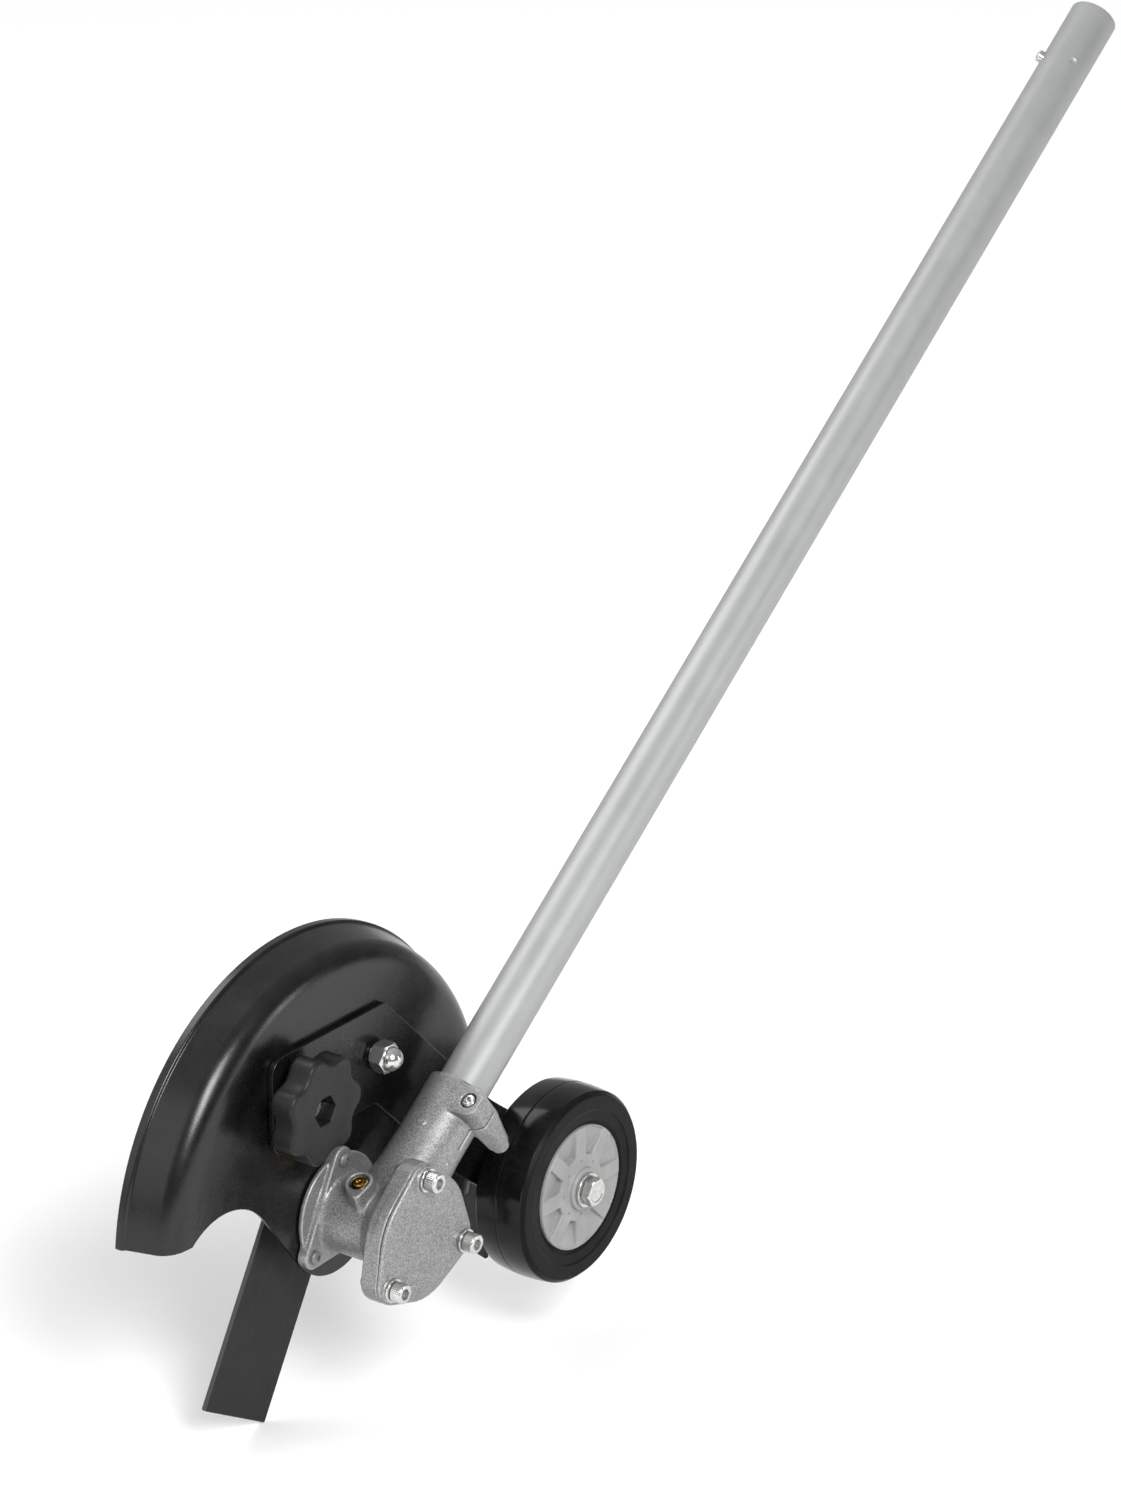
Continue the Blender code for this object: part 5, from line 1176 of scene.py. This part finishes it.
def flap():
    """A rubber sheet round the rear of the skirt that hangs below it."""
    rows = []
    for x in np.linspace(FLAP_BACK, FLAP_FRONT, 15):
        sides = []
        for away in (FIT, FIT + FLAP_THICK):
            line = arc((0, GUARD_CENTRE), skirt_radius(x) + away, *FLAP_WRAP)
            edge, start = line[-1]
            line += [(edge, z) for z in np.linspace(start, FLAP_FOOT, 16)[1:]]
            sides.append([np.array((x, a, b)) for a, b in line])
        rows.append(sides[0] + sides[1][::-1])
    around = len(rows[0])
    faces = bands(len(rows), around)
    for base in (0, (len(rows) - 1) * around):
        last = base + around - 1
        faces += [(base + k, base + k + 1, last - 1 - k, last - k) for k in range(around // 2 - 1)]
    sheet = mesh_piece("debris_flap_fine", (np.concatenate(rows), faces))
    soft = sheet.modifiers.new("edge", "BEVEL")
    soft.width = 0.7 * MM
    soft.segments = 3
    soft.limit_method = "ANGLE"
    soft.angle_limit = radians(40)
    settle(sheet)
    dress(sheet, "rubber", "frame", ["debris_flap"])


def flap_rivets():
    slope = atan2(skirt_radius(FLAP_BACK) - skirt_radius(FLAP_FRONT), FLAP_FRONT - FLAP_BACK)
    line = [(0, -3.3), (3.6, -3.3), (4.0, -2.9), (4.0, -1.9), (2.0, -1.9), (2.0, 3.6)]
    line += [(4.0 * cos(t), 3.6 + 1.4 * sin(t)) for t in np.linspace(0, QUARTER, 8)]
    for k, degrees in enumerate(RIVET_TURNS):
        turn = radians(degrees)
        out = cos(turn) * Y + sin(turn) * Z
        axis = cos(slope) * out + sin(slope) * X
        side = np.cross(X, out)
        place = GUARD_CENTRE * Z + RIVET_X * X + skirt_radius(RIVET_X) * out
        fine(f"flap_rivet_{k + 1}", spin((side, np.cross(axis, side), axis), place, line, 48), "zinc")


def inner_pieces():
    """The CAD's own pieces inside the tube, the case and the hub, with their finishes."""
    kept = {
        "bright_steel": ["drive_shaft", "button_spring", "pinion_gear", "output_gear", "pinion_bearing_1",
                         "pinion_bearing_2", "spindle_bearing_inner", "spindle_bearing_outer"],
        "black_plastic": ["shaft_bush_1", "shaft_bush_2", "shaft_bush_3"],
        "rubber": ["spindle_seal"],
        "zinc": ["axle_sleeve"],
    }
    for slot, names in kept.items():
        for name in names:
            node = frame["nodes"][name]
            node.data.materials.clear()
            node.data.materials.append(FINISH[slot])


drive_tube()
gear_case()
gear_cover()
case_fittings()
spindle_set()
guard()
guard_screws()
wheel_bracket()
pivot_set()
knob_set()
tyre()
hub()
axle_set()
flap()
flap_rivets()
inner_pieces()


# Stage, in metres

FLOOR_Z = -0.5785
FLOOR_REACH = 12.0
FLOOR_COLOUR = 0.73
# painted light: the floor glow grows with distance from this spot under the head and washes out the object's
# shadows away from it
FLOOR_SHADE_SPOT = (-0.14, -0.58, FLOOR_Z)
FLOOR_GLOW = ((0.04, 0.0), (0.2, 0.2), (1.0, 0.54))  # distance from the middle, strength
SKY_WAY = (-0.7, -0.1, 0.7)
SKY_SHADE = (-0.7, 0.9, 0.1, 1.9)
SKY_STRENGTH = 0.38
MIDDLE = (0.0, -0.55, -0.42)
LAMPS = {  # place, target, size, watts
    "key": ((1.37, -1.43, 0.78), MIDDLE, (0.62, 0.9), 44.0),
    "strip": ((1.33, 0.17, -0.18), (-0.03, -0.66, -0.35), (0.12, 0.5), 3.2),
    "side": ((-0.6, -2.6, 0.6), MIDDLE, (2.2, 1.8), 15.0),
    "left": ((-0.95, -0.6, 0.95), (0.0, -0.3, -0.22), (0.9, 0.9), 11.0),
}
LENS = 120.55
SENSOR = 36.0
CAMERA_PLACE = (1.34975, -2.31725, 0.62046)
CAMERA_TURN = (radians(68.606), 0.0, radians(36.374))


def floor():
    """A matt ground whose far parts glow white to the eye, so that it runs into a white background. The glow
    paints light over the object's shadows everywhere except near a spot under the head, where they are left
    to show.
    """
    mesh = bpy.data.meshes.new("floor")
    signs = ((-1, -1), (1, -1), (1, 1), (-1, 1))
    mesh.from_pydata([(a * FLOOR_REACH, b * FLOOR_REACH, FLOOR_Z) for a, b in signs], [], [(0, 1, 2, 3)])
    ground = bpy.data.objects.new("floor", mesh)
    bpy.context.scene.collection.objects.link(ground)
    made = bpy.data.materials.new("floor")
    made.use_nodes = True
    made.node_tree.nodes.clear()
    g = Graph(made.node_tree)
    path = g.add("LightPath", {}).outputs
    seen = path["Is Camera Ray"]
    for other in ("Is Glossy Ray", "Is Transmission Ray"):
        seen = g.math("MAXIMUM", seen, path[other])
    # painted light: glow strength grows with distance from the shade spot
    away = g.vector_math("DISTANCE", g.add("NewGeometry", {}).outputs["Position"], FLOOR_SHADE_SPOT)
    shade = g.add("ValToRGB", {"Fac": away})
    shade.color_ramp.interpolation = "EASE"
    shade.color_ramp.elements.new(0.5)
    for stop, (reach, strength) in zip(shade.color_ramp.elements, FLOOR_GLOW):
        stop.position = reach
        stop.color = (*grey(strength), 1)
    level = g.math("MULTIPLY", seen, shade.outputs["Color"])
    matt = g.add("BsdfDiffuse", {"Color": (*grey(FLOOR_COLOUR), 1)}).outputs["BSDF"]
    glow = g.add("Emission", {"Strength": level}).outputs["Emission"]
    both = g.add("AddShader", {0: matt, 1: glow}).outputs["Shader"]
    g.add("OutputMaterial", {"Surface": both})
    mesh.materials.append(made)


def lamp(name, place, target, size, power):
    data = bpy.data.lights.new(name, "AREA")
    data.shape = "RECTANGLE"
    data.size, data.size_y = size
    data.energy = power
    made = bpy.data.objects.new(name, data)
    made.location = place
    made.rotation_euler = (Vector(target) - Vector(place)).to_track_quat("-Z", "Y").to_euler()
    bpy.context.scene.collection.objects.link(made)


def world():
    made = bpy.data.worlds.new("studio")
    made.use_nodes = True
    g = Graph(made.node_tree)
    toward = g.vector_math("DOT_PRODUCT", g.add("TexCoord", {}).outputs["Generated"], SKY_WAY)
    back = made.node_tree.nodes["Background"]
    made.node_tree.links.new(g.ramp(toward, *SKY_SHADE), back.inputs["Color"])
    back.inputs["Strength"].default_value = SKY_STRENGTH
    bpy.context.scene.world = made


floor()
world()
for name, settings in LAMPS.items():
    lamp(name, *settings)

eye = bpy.data.cameras.new("camera")
eye.lens = LENS
eye.sensor_width = SENSOR
camera = bpy.data.objects.new("camera", eye)
camera.location = CAMERA_PLACE
camera.rotation_euler = CAMERA_TURN
bpy.context.scene.collection.objects.link(camera)
bpy.context.scene.camera = camera
bpy.context.scene.view_settings.view_transform = "Standard"
